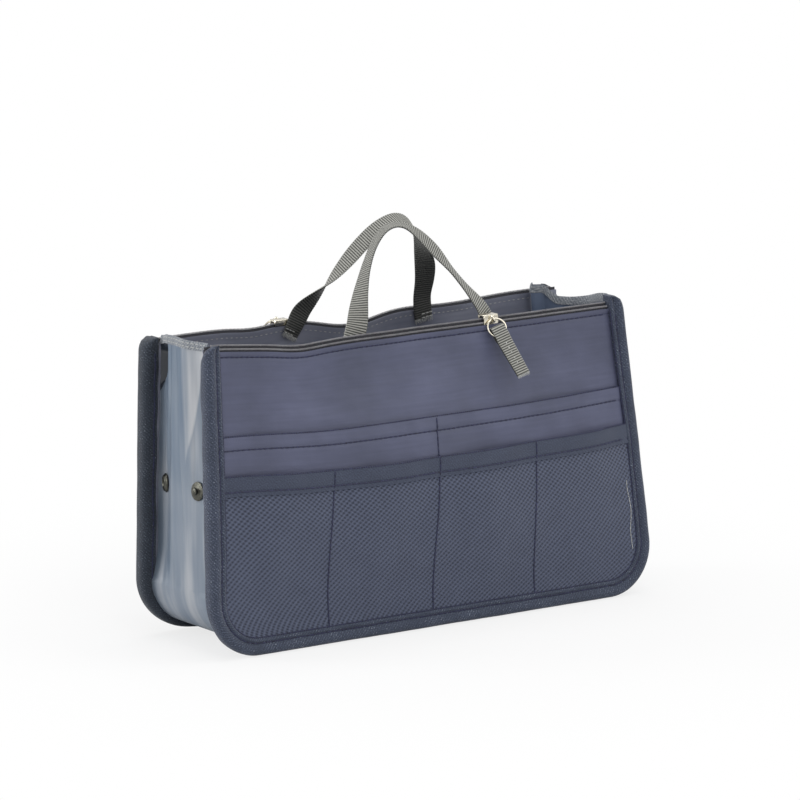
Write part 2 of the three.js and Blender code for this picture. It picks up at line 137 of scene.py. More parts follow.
def buildStudio():
    for name, lamp in lamps.items():
        bpy.ops.object.light_add(type="AREA", location=lamp["place"])
        light = bpy.context.object
        light.name = "lamp_" + name
        light.data.shape = "DISK"
        light.data.size = lamp["size"]
        light.data.energy = lamp["power"]
        aimAt(light, Vector(studio["lampAim"]))

    world = bpy.context.scene.world or bpy.data.worlds.new("studio")
    bpy.context.scene.world = world
    world.use_nodes = True
    world.node_tree.nodes.clear()
    add = partial(addNode, world.node_tree)
    path = add("LightPath").outputs
    seen = add("Math", {0: path["Is Camera Ray"], 1: path["Is Glossy Ray"]}, operation="MAXIMUM")
    seen = add("Math", {0: seen, 1: path["Is Transmission Ray"]}, operation="MAXIMUM")
    soft = add("Background", {"Strength": studio["world"]})
    white = add("Background", {"Strength": 1})
    both = add("MixShader", {0: seen, 1: soft, 2: white})
    add("OutputWorld", {"Surface": both})

    floor = startPiece(bpy.ops.mesh.primitive_plane_add, "studio_floor", size=studio["floorSize"])
    paint = bpy.data.materials.new("matt white paper")
    paint.use_nodes = True
    paint.node_tree.nodes.clear()
    add = partial(addNode, paint.node_tree)
    # the paper runs out into plain white away from the bag, so that no horizon shows
    place = add("TexCoord").outputs["Object"]
    far = add("VectorMath", {0: place}, operation="LENGTH").outputs["Value"]
    share = add("MapRange", {"Value": far, "From Min": studio["whiteFrom"], "From Max": studio["whiteTo"],
                             "To Min": studio["whiteNear"]}, interpolation_type="SMOOTHSTEP")
    seen = add("Math", {0: share, 1: add("LightPath").outputs["Is Camera Ray"]}, operation="MULTIPLY")
    paper = add("BsdfDiffuse", {"Color": hexColour(studio["floor"])})
    white = add("Emission", {"Strength": 1})
    both = add("MixShader", {0: seen, 1: paper, 2: white})
    add("OutputMaterial", {"Surface": both})
    floor.data.materials.append(paint)
    bpy.context.scene.view_settings.view_transform = "Standard"
    print("studio ready")


buildCamera()
buildStudio()

# Materials. UV maps are in millimetres: u across the piece, v along or up it. Each finish below draws its
# pattern and says what goes into the shader; sizes in their settings are mm

taffeta = {"cloud": 38, "slub": 1.6, "slubStretch": (0.05, 1, 1), "thread": 0.9,
           "crease": 9, "creaseStretch": (0.6, 1, 1), "relief": 0.35, "sheen": "#9aa0d8"}


def makeMaterial(name, draw, **choices):
    material = bpy.data.materials.new(name)
    material.use_nodes = True
    material.node_tree.nodes.clear()
    add = partial(addNode, material.node_tree)
    shader = add("BsdfPrincipled", draw(add, **choices))
    add("OutputMaterial", {"Surface": shader})
    return material


def nylonTaffeta(add, stops):
    # woven nylon with a soft sheen: broad cloudy tone, faint crosswise slubs and a fine plain weave,
    # drawn at 0.9 mm because the real 0.3 mm threads would not show
    flat = add("UVMap", uv_map="UVMap")
    clouds = add("TexNoise", {"Vector": flat, "Scale": 1 / taffeta["cloud"], "Detail": 3})
    drawn = add("VectorMath", {0: flat, 1: taffeta["slubStretch"]}, operation="MULTIPLY")
    slubs = add("TexNoise", {"Vector": drawn, "Scale": 1 / taffeta["slub"], "Detail": 2})
    slubs = add("Math", {0: slubs, 1: 0.25}, operation="MULTIPLY")
    blend = add("Math", {0: clouds, 1: 0.75, 2: slubs}, operation="MULTIPLY_ADD")
    rate = math.tau / taffeta["thread"]
    threads = add("VectorMath", {0: flat, 1: (rate, rate, 0)}, operation="MULTIPLY")
    threads = add("VectorMath", {0: threads}, operation="SINE")
    threads = add("SeparateXYZ", {0: threads}).outputs
    weave = add("Math", {0: threads["X"], 1: threads["Y"]}, operation="MULTIPLY")
    pulled = add("VectorMath", {0: flat, 1: taffeta["creaseStretch"]}, operation="MULTIPLY")
    creases = add("TexNoise", {"Vector": pulled, "Scale": 1 / taffeta["crease"], "Detail": 3})
    height = add("Math", {0: weave, 1: 0.1, 2: creases}, operation="MULTIPLY_ADD")
    return {"Base Color": add("ValToRGB", {"Fac": blend}, stops),
            "Normal": add("Bump", {"Height": height, "Distance": taffeta["relief"] * mm}),
            "Roughness": 0.46, "Sheen Weight": 0.12, "Sheen Roughness": 0.4,
            "Sheen Tint": hexColour(taffeta["sheen"])}


meshCloth = {"across": 0.303, "rising": 0.332, "falling": 0.486,      # rows of holes per mm
             "openFrom": 45, "openTo": 80, "uneven": 12, "relief": 0.5,
             "stops": [(0.08, "#2a3042"), (0.38, "#3e4559"), (0.6, "#495066"), (0.9, "#575f75")]}


def knittedMesh(add):
    # polyester mesh: slanting ridges with a dark hole between each crossing
    flat = add("UVMap", uv_map="UVMap")
    ridges = []
    for climb in (-meshCloth["rising"], meshCloth["falling"]):
        rates = (meshCloth["across"] * math.tau, climb * math.tau, 0)
        cut = add("VectorMath", {0: flat, 1: rates}, operation="DOT_PRODUCT").outputs["Value"]
        ridges.append(add("Math", {0: cut}, operation="SINE"))
    rising, falling = ridges
    # the holes pull open under the hem, and lower down only the slanting ridges show
    height = add("SeparateXYZ", {0: flat}).outputs["Y"]
    opened = add("MapRange", {"Value": height, "From Min": meshCloth["openFrom"],
                              "From Max": meshCloth["openTo"], "To Min": 0.5, "To Max": 0.95})
    holes = add("Math", {0: falling, 1: opened, 2: rising}, operation="MULTIPLY_ADD")
    crossing = add("Math", {0: rising, 1: falling}, operation="MULTIPLY")
    holes = add("Math", {0: crossing, 1: -0.3, 2: holes}, operation="MULTIPLY_ADD")
    uneven = add("TexNoise", {"Vector": flat, "Scale": 1 / meshCloth["uneven"], "Detail": 3})
    holes = add("Math", {0: uneven, 1: 0.8, 2: holes}, operation="MULTIPLY_ADD")
    level = add("MapRange", {"Value": holes, "From Min": -1.4, "From Max": 2})
    return {"Base Color": add("ValToRGB", {"Fac": level}, meshCloth["stops"]),
            "Normal": add("Bump", {"Height": level, "Distance": meshCloth["relief"] * mm}),
            "Roughness": 0.72, "Sheen Weight": 0.15, "Sheen Roughness": 0.5}


tapeWeave = {"twill": 0.55, "grain": 0.7, "wear": 14, "relief": 0.3}      # twill: lines per mm


def wovenTape(add, stops, fleck):
    # matt woven tape: a small twill with pale fibre flecks
    flat = add("UVMap", uv_map="UVMap")
    rate = tapeWeave["twill"] * math.tau
    cut = add("VectorMath", {0: flat, 1: (rate, rate, 0)}, operation="DOT_PRODUCT").outputs["Value"]
    twill = add("Math", {0: cut}, operation="SINE")
    grain = add("TexNoise", {"Vector": flat, "Scale": 1 / tapeWeave["grain"], "Detail": 3})
    wear = add("TexNoise", {"Vector": flat, "Scale": 1 / tapeWeave["wear"], "Detail": 2})
    level = add("Math", {0: wear, 1: 0.2}, operation="MULTIPLY")
    level = add("Math", {0: grain, 1: 0.8, 2: level}, operation="MULTIPLY_ADD")
    level = add("Math", {0: twill, 1: fleck, 2: level}, operation="MULTIPLY_ADD")
    return {"Base Color": add("ValToRGB", {"Fac": level}, stops),
            "Normal": add("Bump", {"Height": level, "Distance": tapeWeave["relief"] * mm}),
            "Roughness": 0.8, "Sheen Weight": 0.15}


coating = {
    "streak": 14, "streakStretch": (1, 0.09, 1), "cloud": 40, "relief": 1.2,
    "sheenSlant": 0.335, "sheenReach": 55.5, "sheenEdge": 22,      # the wedge of painted highlight, from the front seam
    "darkFrom": 85, "darkTo": 140,                              # height over which the cloth darkens
    "foldSlant": 1.55, "foldPoint": 134, "foldEdge": 43.7, "foldSide": 4.2, "seam": 56,
    "outer": [(0.32, "#54687e"), (0.5, "#7a8593"), (0.7, "#b6b8bc")],
    # painted shade for the deep fold by the back wall
    "fold": [(0.35, "#2b313a"), (0.65, "#373e47")],
    "inner": [(0.35, "#657289"), (0.65, "#77849b")],
}


def coatedNylon(add):
    # gusset cloth with a shiny coating: pale grey-blue, with soft streaks that are partly painted highlights,
    # and smooth reflections along its folds
    flat = add("UVMap", uv_map="UVMap")
    drawn = add("VectorMath", {0: flat, 1: coating["streakStretch"]}, operation="MULTIPLY")
    streaksAndSheen = add("TexNoise", {"Vector": drawn, "Scale": 1 / coating["streak"], "Detail": 3})
    clouds = add("TexNoise", {"Vector": flat, "Scale": 1 / coating["cloud"], "Detail": 1})
    across, height, _ = add("SeparateXYZ", {0: flat}).outputs
    # the coating is darker towards the hem, and a painted highlight makes it pale in a wedge that hangs from
    # the hem's front half
    slant = add("Math", {0: height, 1: coating["sheenSlant"], 2: across}, operation="MULTIPLY_ADD")
    slant = add("Math", {0: slant, 1: coating["sheenReach"]}, operation="SUBTRACT")
    beside = add("Math", {0: coating["sheenEdge"], 1: across}, operation="SUBTRACT")
    wedge = add("Math", {0: slant, 1: beside}, operation="MINIMUM")
    pale = add("MapRange", {"Value": wedge, "From Min": -2, "From Max": 1.5, "To Min": -0.2, "To Max": 0.11},
               interpolation_type="SMOOTHSTEP")
    upper = add("MapRange", {"Value": height, "From Min": coating["darkFrom"], "From Max": coating["darkTo"],
                             "To Min": 0.02, "To Max": -0.12})
    sheenAndDarkening = add("Math", {0: pale, 1: upper}, operation="MAXIMUM")
    level = add("Math", {0: clouds, 1: 0.25, 2: sheenAndDarkening}, operation="MULTIPLY_ADD")
    level = add("Math", {0: streaksAndSheen, 1: 0.75, 2: level}, operation="MULTIPLY_ADD")
    coated = add("ValToRGB", {"Fac": level}, coating["outer"])
    # painted shade: the deep fold by the back wall is coloured dark, in a wedge that opens towards the hem,
    # wider on the left
    place = add("TexCoord").outputs
    spot = add("SeparateXYZ", {0: place["Object"]}).outputs["X"]
    lowest = coating["seam"] + coating["foldPoint"] * coating["foldSlant"]
    opening = add("Math", {0: height, 1: -coating["foldSlant"], 2: lowest}, operation="MULTIPLY_ADD")
    hand = add("Math", {0: spot}, operation="SIGN")
    edge = add("Math", {0: hand, 1: coating["foldSide"], 2: coating["foldEdge"]}, operation="MULTIPLY_ADD")
    edge = add("Math", {0: opening, 1: edge}, operation="MAXIMUM")
    shadedFoldMask = add("Math", {0: across, 1: edge}, operation="GREATER_THAN")
    shaded = add("ValToRGB", {"Fac": level}, coating["fold"])
    outside = add("Mix", {0: shadedFoldMask, 6: coated, 7: shaded}, data_type="RGBA").outputs[2]
    # only the outside is coated: a face that looks towards the bag's middle shows plain slate cloth
    way = add("SeparateXYZ", {0: place["Normal"]}).outputs["X"]
    within = add("Math", {0: way, 1: spot}, operation="MULTIPLY")
    within = add("Math", {0: within, 1: 0}, operation="LESS_THAN")
    plain = add("ValToRGB", {"Fac": level}, coating["inner"])
    return {"Base Color": add("Mix", {0: within, 6: outside, 7: plain}, data_type="RGBA").outputs[2],
            "Normal": add("Bump", {"Height": streaksAndSheen, "Distance": coating["relief"] * mm, "Strength": 0.6}),
            "Roughness": 0.34, "Coat Weight": 0.25, "Coat Roughness": 0.2}


webbing = {
    "width": 11, "thickness": 1.2, "ribPitch": 1.3, "selvedge": 0.8,
    "yarn": 0.5, "yarnStretch": (1, 0.3, 1), "relief": 0.15,
    "outer": [(0.1, "#31312e"), (0.45, "#72726d"), (0.85, "#a9a9a2")],
    "inner": [(0.1, "#1d1e1d"), (0.5, "#333432"), (0.9, "#545551")],
    "edge": [(0.3, "#8e8e88"), (0.7, "#b4b4ad")],
}


def ribbedWebbing(add):
    # polypropylene grosgrain: crosswise ribs with dark gaps, a pale selvedge, and charcoal on its inner face
    flat = add("UVMap", uv_map="UVMap")
    across, along, _ = add("SeparateXYZ", {0: flat}).outputs
    ribs = add("Math", {0: along, 1: math.tau / webbing["ribPitch"]}, operation="MULTIPLY")
    ribs = add("Math", {0: ribs}, operation="SINE")
    drawn = add("VectorMath", {0: flat, 1: webbing["yarnStretch"]}, operation="MULTIPLY")
    yarn = add("TexNoise", {"Vector": drawn, "Scale": 1 / webbing["yarn"], "Detail": 2})
    level = add("Math", {0: ribs, 1: 0.5, 2: 0.32}, operation="MULTIPLY_ADD")
    level = add("Math", {0: yarn, 1: 0.4, 2: level}, operation="MULTIPLY_ADD")
    pale = add("ValToRGB", {"Fac": level}, webbing["outer"])
    dark = add("ValToRGB", {"Fac": level}, webbing["inner"])
    woven = add("ValToRGB", {"Fac": yarn}, webbing["edge"])
    # across runs over the outer face first and then back over the inner one
    half = (webbing["width"] + webbing["thickness"]) / 2
    offset = add("Math", {0: across, 1: half}, operation="SUBTRACT")
    offset = add("Math", {0: offset}, operation="ABSOLUTE")
    selvedge = add("Math", {0: offset, 1: half - webbing["selvedge"]}, operation="GREATER_THAN")
    outer = add("Mix", {0: selvedge, 6: pale, 7: woven}, data_type="RGBA").outputs[2]
    inside = add("Math", {0: across, 1: 2 * half - webbing["thickness"] / 2}, operation="GREATER_THAN")
    return {"Base Color": add("Mix", {0: inside, 6: outer, 7: dark}, data_type="RGBA").outputs[2],
            "Normal": add("Bump", {"Height": yarn, "Distance": webbing["relief"] * mm}),
            "Roughness": 0.62, "Sheen Weight": 0.1}


def sewingThread(add, dark, light, ply=0.8):
    # twisted polyester thread: its plies show as slanting light and dark
    place = add("TexCoord").outputs["Object"]
    plies = add("TexNoise", {"Vector": place, "Scale": 1 / (ply * mm), "Detail": 1})
    return {"Base Color": add("ValToRGB", {"Fac": plies}, [(0.35, dark), (0.65, light)]),
            "Normal": add("Bump", {"Height": plies, "Distance": 0.1 * mm}),
            "Roughness": 0.6}


def platedMetal(add, dull, bright, roughness, grain=1.2):
    # plated castings: bright, with a slightly uneven polish
    place = add("TexCoord").outputs["Object"]
    cast = add("TexNoise", {"Vector": place, "Scale": 1 / (grain * mm), "Detail": 3})
    return {"Base Color": add("ValToRGB", {"Fac": cast}, [(0.3, dull), (0.7, bright)]),
            "Roughness": add("MapRange", {"Value": cast, "To Min": roughness * 0.7,
                                          "To Max": roughness * 1.3}),
            "Normal": add("Bump", {"Height": cast, "Distance": 0.05 * mm}),
            "Metallic": 1}


def coilPlastic(add, grain=2.5):
    # nylon coil teeth: satin monofilament, a little darker in places
    place = add("TexCoord").outputs["Object"]
    patches = add("TexNoise", {"Vector": place, "Scale": 1 / (grain * mm), "Detail": 2})
    return {"Base Color": add("ValToRGB", {"Fac": patches}, [(0.3, "#8f8e92"), (0.7, "#a6a5a8")]),
            "Normal": add("Bump", {"Height": patches, "Distance": 0.05 * mm}),
            "Roughness": 0.42}


def openFoam(add, cell=1.4):
    # cut polyurethane foam: pale, matt and full of small cells
    flat = add("UVMap", uv_map="UVMap")
    cells = add("TexVoronoi", {"Vector": flat, "Scale": 1 / cell}).outputs["Distance"]
    return {"Base Color": add("ValToRGB", {"Fac": cells}, [(0.0, "#bdbdb8"), (0.6, "#dcdcd8")]),
            "Normal": add("Bump", {"Height": cells, "Distance": 0.3 * mm}),
            "Roughness": 0.95}


finishes = {
    "nylon": makeMaterial("nylon taffeta", nylonTaffeta,
                          stops=[(0.3, "#474b60"), (0.5, "#51556d"), (0.7, "#5c607a")]),
    # painted light: the lining is the same nylon as the outside, drawn paler to stand in for light that the
    # inside of the bag lacks
    "lining": makeMaterial("nylon lining, painted lighter", nylonTaffeta,
                           stops=[(0.3, "#727685"), (0.5, "#818493"), (0.7, "#9094a1")]),
    "mesh": makeMaterial("knitted polyester mesh", knittedMesh),
    "frontBinding": makeMaterial("woven binding tape", wovenTape, fleck=0.05, stops=[
        (0.3, "#262c3a"), (0.5, "#384052"), (0.62, "#4c5468"), (0.74, "#98a0ac")]),
    # painted shade: the back tape is the same as the front one, drawn darker to stand in for the shade it
    # lies in
    "backBinding": makeMaterial("shaded woven binding tape", wovenTape, fleck=0.05, stops=[
        (0.3, "#1b212b"), (0.5, "#2a313c"), (0.62, "#3a424f"), (0.74, "#7d858f")]),
    "hem": makeMaterial("woven hem band", wovenTape, fleck=0.04,
                        stops=[(0.3, "#323848"), (0.5, "#3c4356"), (0.7, "#4a5266")]),
    "gussetHem": makeMaterial("pale woven hem", wovenTape, fleck=0.06,
                              stops=[(0.3, "#5d636c"), (0.5, "#83888f"), (0.7, "#b4b7ba")]),
    "gusset": makeMaterial("coated nylon", coatedNylon),
    # partly painted shade: the tape is charcoal, so that the gaps between the pale coil rows read as the
    # shaded grooves there
    "zipTape": makeMaterial("knitted zip tape", wovenTape, fleck=0.05,
                            stops=[(0.3, "#303035"), (0.5, "#3b3b41"), (0.7, "#4a4a50")]),
    "zipCoil": makeMaterial("nylon zip coil", coilPlastic),
    "webbing": makeMaterial("polypropylene grosgrain webbing", ribbedWebbing),
    "nickel": makeMaterial("nickel plated zinc", platedMetal, dull="#c9c3b2", bright="#ece6d6",
                           roughness=0.2),
    "gunmetal": makeMaterial("gunmetal plated brass", platedMetal, dull="#3b3b37", bright="#5a5a52",
                             roughness=0.36),
    "navyThread": makeMaterial("navy sewing thread", sewingThread, dark="#1b1e33", light="#2d3152"),
    "paleThread": makeMaterial("pale sewing thread", sewingThread, dark="#a9aaa8", light="#d6d7d4"),
    "foam": makeMaterial("polyurethane foam", openFoam),
}
print("materials", len(finishes))

# Shape of the two walls, the same sizes as their CAD solids (mm)

bag = {"baseLength": 285, "topLength": 267, "height": 156, "corner": 30, "bindingWidth": 9}
walls = {
    "front": {"side": -1, "baseReach": 38, "topReach": 19, "bulge": 14.5,
              "edgeWaves": [(-132, 24, 2.2), (-74, 15, -1.6)],       # place along, width, rise
              "endLift": 2.4, "cornerLift": 0, "cornerRise": 3, "seed": 3.7},
    "back": {"side": 1, "baseReach": 27, "topReach": 36, "bulge": 9,
             "edgeWaves": [(-138, 20, -0.6), (-66, 14, -1.6), (-4, 24, -6.0), (62, 26, -1.8)],
             "endLift": 0, "cornerLift": 3.4, "cornerRise": 0, "seed": 11.2},
}


def middleOf(node):
    low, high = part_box(node)
    return (low + high) / 2


# the CAD zip lies on the wall's middle layer, which gives the frame's own depth
zipLine = (middleOf("front_zip_outer_coil") + middleOf("front_zip_inner_coil")) / 2
bag["shift"] = zipLine.y / mm + walls["front"]["topReach"]


def smooth(share):
    share = min(1, max(0, share))
    return share * share * (3 - 2 * share)


def mixed(a, b, share):
    return a + (b - a) * share


def drift(x, y, seed):
    # a smooth random wave between -1 and 1
    return noise.noise(Vector((x, y, seed)))


def edgeHalf(z, inset):
    half = mixed(bag["baseLength"], bag["topLength"], min(max(z, 0) / bag["height"], 1)) / 2 - inset
    radius = bag["corner"] - inset
    rise = z - inset
    if rise >= radius:
        return half
    return half - radius + math.sqrt(max(0, radius ** 2 - (radius - rise) ** 2))


def reachAt(wall, x, z):
    share = min(max(z, 0) / bag["height"], 1)
    crown = math.sin(math.pi * share) ** 2 * max(0, 1 - (x / edgeHalf(max(z, 0), 0)) ** 2)
    return mixed(wall["baseReach"], wall["topReach"], share) + wall["bulge"] * crown


def edgeRise(wall, x, z):
    # how far the soft cloth has crept up or sagged, most at the zipped edge
    along = -wall["side"] * x
    rise = sum(lift * math.exp(-((along - spot) / width) ** 2) for spot, width, lift in wall["edgeWaves"])
    ends = wall["endLift"] * smooth((-along - 55) / 70) * smooth((z - 15) / 75)
    corner = wall["cornerLift"] * smooth((-along - 90) / 45) * (1 - smooth(z / 50))
    return rise * smooth((z - 108) / 46) + ends + corner


def softSwell(wall, x, z):
    # slow waves that all layers of a wall share
    seed = wall["seed"]
    held = max(0, 1 - (x / edgeHalf(max(z, 0), 0)) ** 2) * smooth(z / 40)
    broad = drift(x / 58, z / 46, seed)
    small = drift(x / 26, z / 30, seed + 5)
    return 1.5 * (broad + 0.5 * small) * held


def wallSpot(wall, x, z, out):
    depth = reachAt(wall, x, z) + out + softSwell(wall, x, z)
    side = wall["side"]
    return Vector((-side * x, side * depth + bag["shift"], z + edgeRise(wall, x, z))) * mm


# Making and finishing pieces

def formGrid(name, columns, rows, place, size):
    # a flat grid whose points are carried to their place; size is the cloth's flat size in mm for its UV map
    piece = startPiece(bpy.ops.mesh.primitive_grid_add, name, x_subdivisions=columns, y_subdivisions=rows,
                       size=1)
    piece.data.name = name
    points = piece.data.vertices
    spots = [(point.co.x + 0.5, point.co.y + 0.5) for point in points]
    for point, (u, v) in zip(points, spots):
        point.co = place(u, v)
    chart = piece.data.uv_layers[0]
    chart.name = "UVMap"
    for loop in piece.data.loops:
        u, v = spots[loop.vertex_index]
        chart.data[loop.index].uv = (u * size[0], v * size[1])
    return piece


def closeSeams(piece):
    bpy.ops.object.mode_set(mode="EDIT")
    bpy.ops.mesh.select_all(action="SELECT")
    bpy.ops.mesh.remove_doubles(threshold=0.002 * mm)
    bpy.ops.mesh.fill_holes(sides=0)
    bpy.ops.mesh.normals_make_consistent(inside=False)
    bpy.ops.object.mode_set(mode="OBJECT")
    return piece


def applyModifier(piece, kind, **settings):
    modifier = piece.modifiers.new(kind.lower(), kind)
    for name, value in settings.items():
        setattr(modifier, name, value)
    bpy.context.view_layer.objects.active = piece
    bpy.ops.object.modifier_apply(modifier=modifier.name)
    return piece


def thicken(piece, thickness):
    return applyModifier(piece, "SOLIDIFY", thickness=thickness * mm, offset=0)


def finishPiece(piece, finish, slot, body="bag", nodes=(), angle=45):
    bpy.ops.object.select_all(action="DESELECT")
    piece.select_set(True)
    bpy.context.view_layer.objects.active = piece
    bpy.ops.object.shade_smooth_by_angle(angle=math.radians(angle))
    piece.data.materials.clear()
    piece.data.materials.append(finishes[finish])
    if body:
        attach(piece, body)
    if nodes:
        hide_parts(*nodes)
    return piece


# Wall cloth: padding, lining, outer panel, slot pocket, mesh pocket and its hem

cloth = {
    "tuck": 2.6,            # how far the layers stop inside the bag's outer edge, within the binding (mm)
    "foamTop": 144.6, "panelTop": 152.3, "zipStitch": 149.4, "liningTop": 153.6, "liningStitch": 150.9,
    "slotTop": 111, "slotStitch": 104,
    "hemTop": 91, "hemStitch": 83.4, "hemBottom": 81,
    "pockets": 4,
    "panelOut": 1.55, "slotOut": 2.35, "meshOut": 3.1, "hemOut": 3.5,
}


def pocketShare(x, z, count):
    # 0 on a row of divider stitches, 1 midway between two
    across = edgeHalf(max(z, bag["corner"]), bag["bindingWidth"])
    return math.sin(math.pi * min(1, max(0, (x / across + 1) / 2)) * count) ** 2


def dent(z, line, width):
    return math.exp(-((z - line) / width) ** 2)


def innerFade(x, z):
    # 0 under the binding and 1 well inside it, so that swelling cloth stays tucked in
    side = edgeHalf(z, bag["bindingWidth"]) - abs(x)
    return smooth(side / 14) * smooth((z - bag["bindingWidth"]) / 12)


def panelOut(wall, x, z):
    facing = smooth((z - cloth["zipStitch"]) / 0.8)
    roll = facing * math.sin(math.pi * min(1, (z - cloth["zipStitch"]) / 5)) if facing else 0
    creases = 0.3 * drift(x / 16, z / 7, wall["seed"] + 2) * innerFade(x, z)
    return cloth["panelOut"] + 0.8 * roll - 0.5 * dent(z, cloth["zipStitch"], 1.1) + creases


def liningOut(wall, x, z):
    creases = 0.3 * drift(x / 16, z / 7, wall["seed"] + 13) * innerFade(x, z)
    return -cloth["panelOut"] - 0.3 * smooth((z - cloth["liningStitch"]) / 1.2) - creases


def slotOut(wall, x, z):
    mouth = smooth((z - 88) / 23) * pocketShare(x, z, 2) * innerFade(x, z)
    hem = 0.35 * smooth((z - cloth["slotStitch"]) / 0.8)
    creases = 0.25 * drift(x / 18, z / 8, wall["seed"] + 8) * innerFade(x, z)
    pucker = 0.4 * drift(x / 5, z / 12, wall["seed"] + 21) * smooth((z - 101) / 5)
    pucker *= innerFade(x, z)
    return cloth["slotOut"] + 1.3 * mouth + hem - 0.3 * dent(z, cloth["slotStitch"], 0.9) + creases + pucker


def meshSwell(wall, x, z):
    share = pocketShare(x, z, cloth["pockets"])
    lift = smooth((z - 6) / 40) * (0.55 + 0.45 * smooth((z - 40) / 50))
    creases = 0.35 * drift(x / 14, z / 20, wall["seed"] + 4)
    return (1.7 * share * lift + creases) * innerFade(x, z)


def meshOut(wall, x, z):
    return cloth["meshOut"] + meshSwell(wall, x, z)


def hemOut(wall, x, z):
    gape = 0.6 * pocketShare(x, z, cloth["pockets"]) * smooth((z - cloth["hemStitch"]) / 6)
    return cloth["hemOut"] + meshSwell(wall, x, z) + gape - 0.25 * dent(z, cloth["hemStitch"], 0.9)


def flatOut(wall, x, z):
    return 0        # the foam is the wall's middle layer


def wallLayer(name, wall, bottom, top, out, thickness, columns, rows):
    def place(u, v):
        z = mixed(bottom, top, v)
        x = (2 * u - 1) * edgeHalf(z, cloth["tuck"])
        return wallSpot(wall, x, z, out(wall, x, z))
    width = 2 * edgeHalf((bottom + top) / 2, cloth["tuck"])
    piece = formGrid(name, columns, rows, place, (width, top - bottom))
    thicken(piece, thickness)
    return piece, (width * mm, (top - bottom) * mm)


def buildWallCloth(side, wall):
    low = cloth["tuck"]
    layers = [
        ("foam_pad", low, cloth["foamTop"], flatOut, 1.9, 48, 30, "foam", "foam"),
        ("outer_panel", low, cloth["panelTop"], panelOut, 0.5, 150, 150, "nylon", "nylon"),
        ("inner_panel", low, cloth["liningTop"], liningOut, 0.5, 110, 110, "lining", "nylon"),
        ("slot_pocket", low, cloth["slotTop"], slotOut, 0.5, 150, 110, "nylon", "nylon"),
        ("mesh_pocket", low, cloth["hemBottom"] + 1.5, meshOut, 0.5, 150, 80, "mesh", "mesh"),
        ("mesh_hem", cloth["hemBottom"], cloth["hemTop"], hemOut, 1.0, 150, 14, "hem", "binding"),
    ]
    for part, bottom, top, out, thickness, columns, rows, finish, slot in layers:
        name = side + "_" + part
        piece, flat = wallLayer("cloth_" + name, wall, bottom, top, out, thickness, columns, rows)
        finishPiece(piece, finish, slot, nodes=[name])
    print("wall cloth", side)


for side, wall in walls.items():
    buildWallCloth(side, wall)

# Binding tape, rolled round each wall's edge and sewn down beside the roll

binding = {
    # outline of the tape: inset and out
    "section": [(9.2, 2.6), (9.0, 4.0), (7.9, 4.55), (6.6, 3.75), (5.6, 4.6), (4.4, 5.35), (3.0, 5.6),
                (1.6, 5.1), (0.6, 4.0), (0.1, 2.6), (0.0, 1.2), (0.1, -0.3), (0.6, -1.6), (1.6, -2.6),
                (3.0, -3.1), (4.6, -3.0), (6.6, -2.5), (7.9, -2.8), (9.0, -2.4), (9.2, -1.4)],
    "steps": 300, "girth": 27, "stitchInset": 6.6, "pucker": 0.16, "stitchPitch": 3.1,
    "wander": 0.35, "swellOut": 0.3, "swellIn": 0.9,    # how uneven its edge and its two faces are
    "endRound": 7, "endDrop": 4,        # rounding of the tape's top ends, and how far they fall away inside
}


def rimLength():
    leg = bag["height"] - bag["corner"]
    flat = bag["baseLength"] - 2 * bag["corner"]
    return 2 * leg + math.pi * bag["corner"] + flat


def rimSpot(distance, inset):
    # x and z of a point on the rim; distance runs from the top of one side down and round to the other
    radius = bag["corner"]
    leg = bag["height"] - radius
    arc = math.pi / 2 * radius
    flat = bag["baseLength"] / 2 - radius
    total = rimLength()
    sign = -1 if distance < total / 2 else 1
    gone = min(distance, total - distance)
    if gone <= leg:
        z = bag["height"] - gone
        return sign * edgeHalf(z, inset), z
    if gone <= leg + arc:
        turn = (gone - leg) / radius
        z = inset + (radius - inset) * (1 - math.sin(turn))
        return sign * edgeHalf(z, inset), z
    z = inset
    start = edgeHalf(inset, inset)
    return sign * start * (1 - (gone - leg - arc) / flat), z


def bindingSpot(wall, distance, inset, out):
    total = rimLength()
    gone = min(distance, total - distance)
    rounding = binding["endRound"]
    if gone < rounding:
        cut = rounding * (1 - math.sqrt(max(0, 1 - (1 - gone / rounding) ** 2)))
        inset += (bag["bindingWidth"] - inset) / bag["bindingWidth"] * cut * 0.75
    wander = binding["wander"] * drift(distance / 24, inset / 8, wall["seed"])
    pucker = binding["pucker"] * math.cos(math.tau * distance / binding["stitchPitch"])
    pucker *= dent(inset, 5.4, 2.2)
    swell = binding["swellOut" if out > 0 else "swellIn"]
    swell *= drift(distance / 11, out / 9, wall["seed"] + 3)
    x, z = rimSpot(distance, max(0, inset + wander * 0.6))
    lift = (pucker + swell) * (1 if out > 1 else -1)
    drop = binding["endDrop"] * smooth(1 - gone / 16) * smooth((3.5 - out) / 6)
    if distance > total / 2:
        drop = -wall["cornerRise"] * smooth(1 - gone / 18)
    return wallSpot(wall, x, max(z, 0.15) - drop, out + lift)


def sectionSpot(points, share):
    # a point on a closed outline, with equal shares between its corners
    spot = share * len(points)
    first = int(spot) % len(points)
    second = (first + 1) % len(points)
    part = spot - int(spot)
    return tuple(mixed(a, b, part) for a, b in zip(points[first], points[second]))


def buildBinding(side, wall):
    total = rimLength()
    count = len(binding["section"])

    def place(u, v):
        inset, out = sectionSpot(binding["section"], u)
        return bindingSpot(wall, v * total, inset, out)
    piece = formGrid("tape_" + side + "_binding", 2 * count, binding["steps"], place,
                     (binding["girth"], total))
    closeSeams(piece)
    # the back wall's tape takes the darker copy, with its painted shade
    finishPiece(piece, side + "Binding", "binding", nodes=[side + "_binding"], angle=60)
    print("binding", side)


for side, wall in walls.items():
    buildBinding(side, wall)

# Side gussets with their hems, and the base cloth

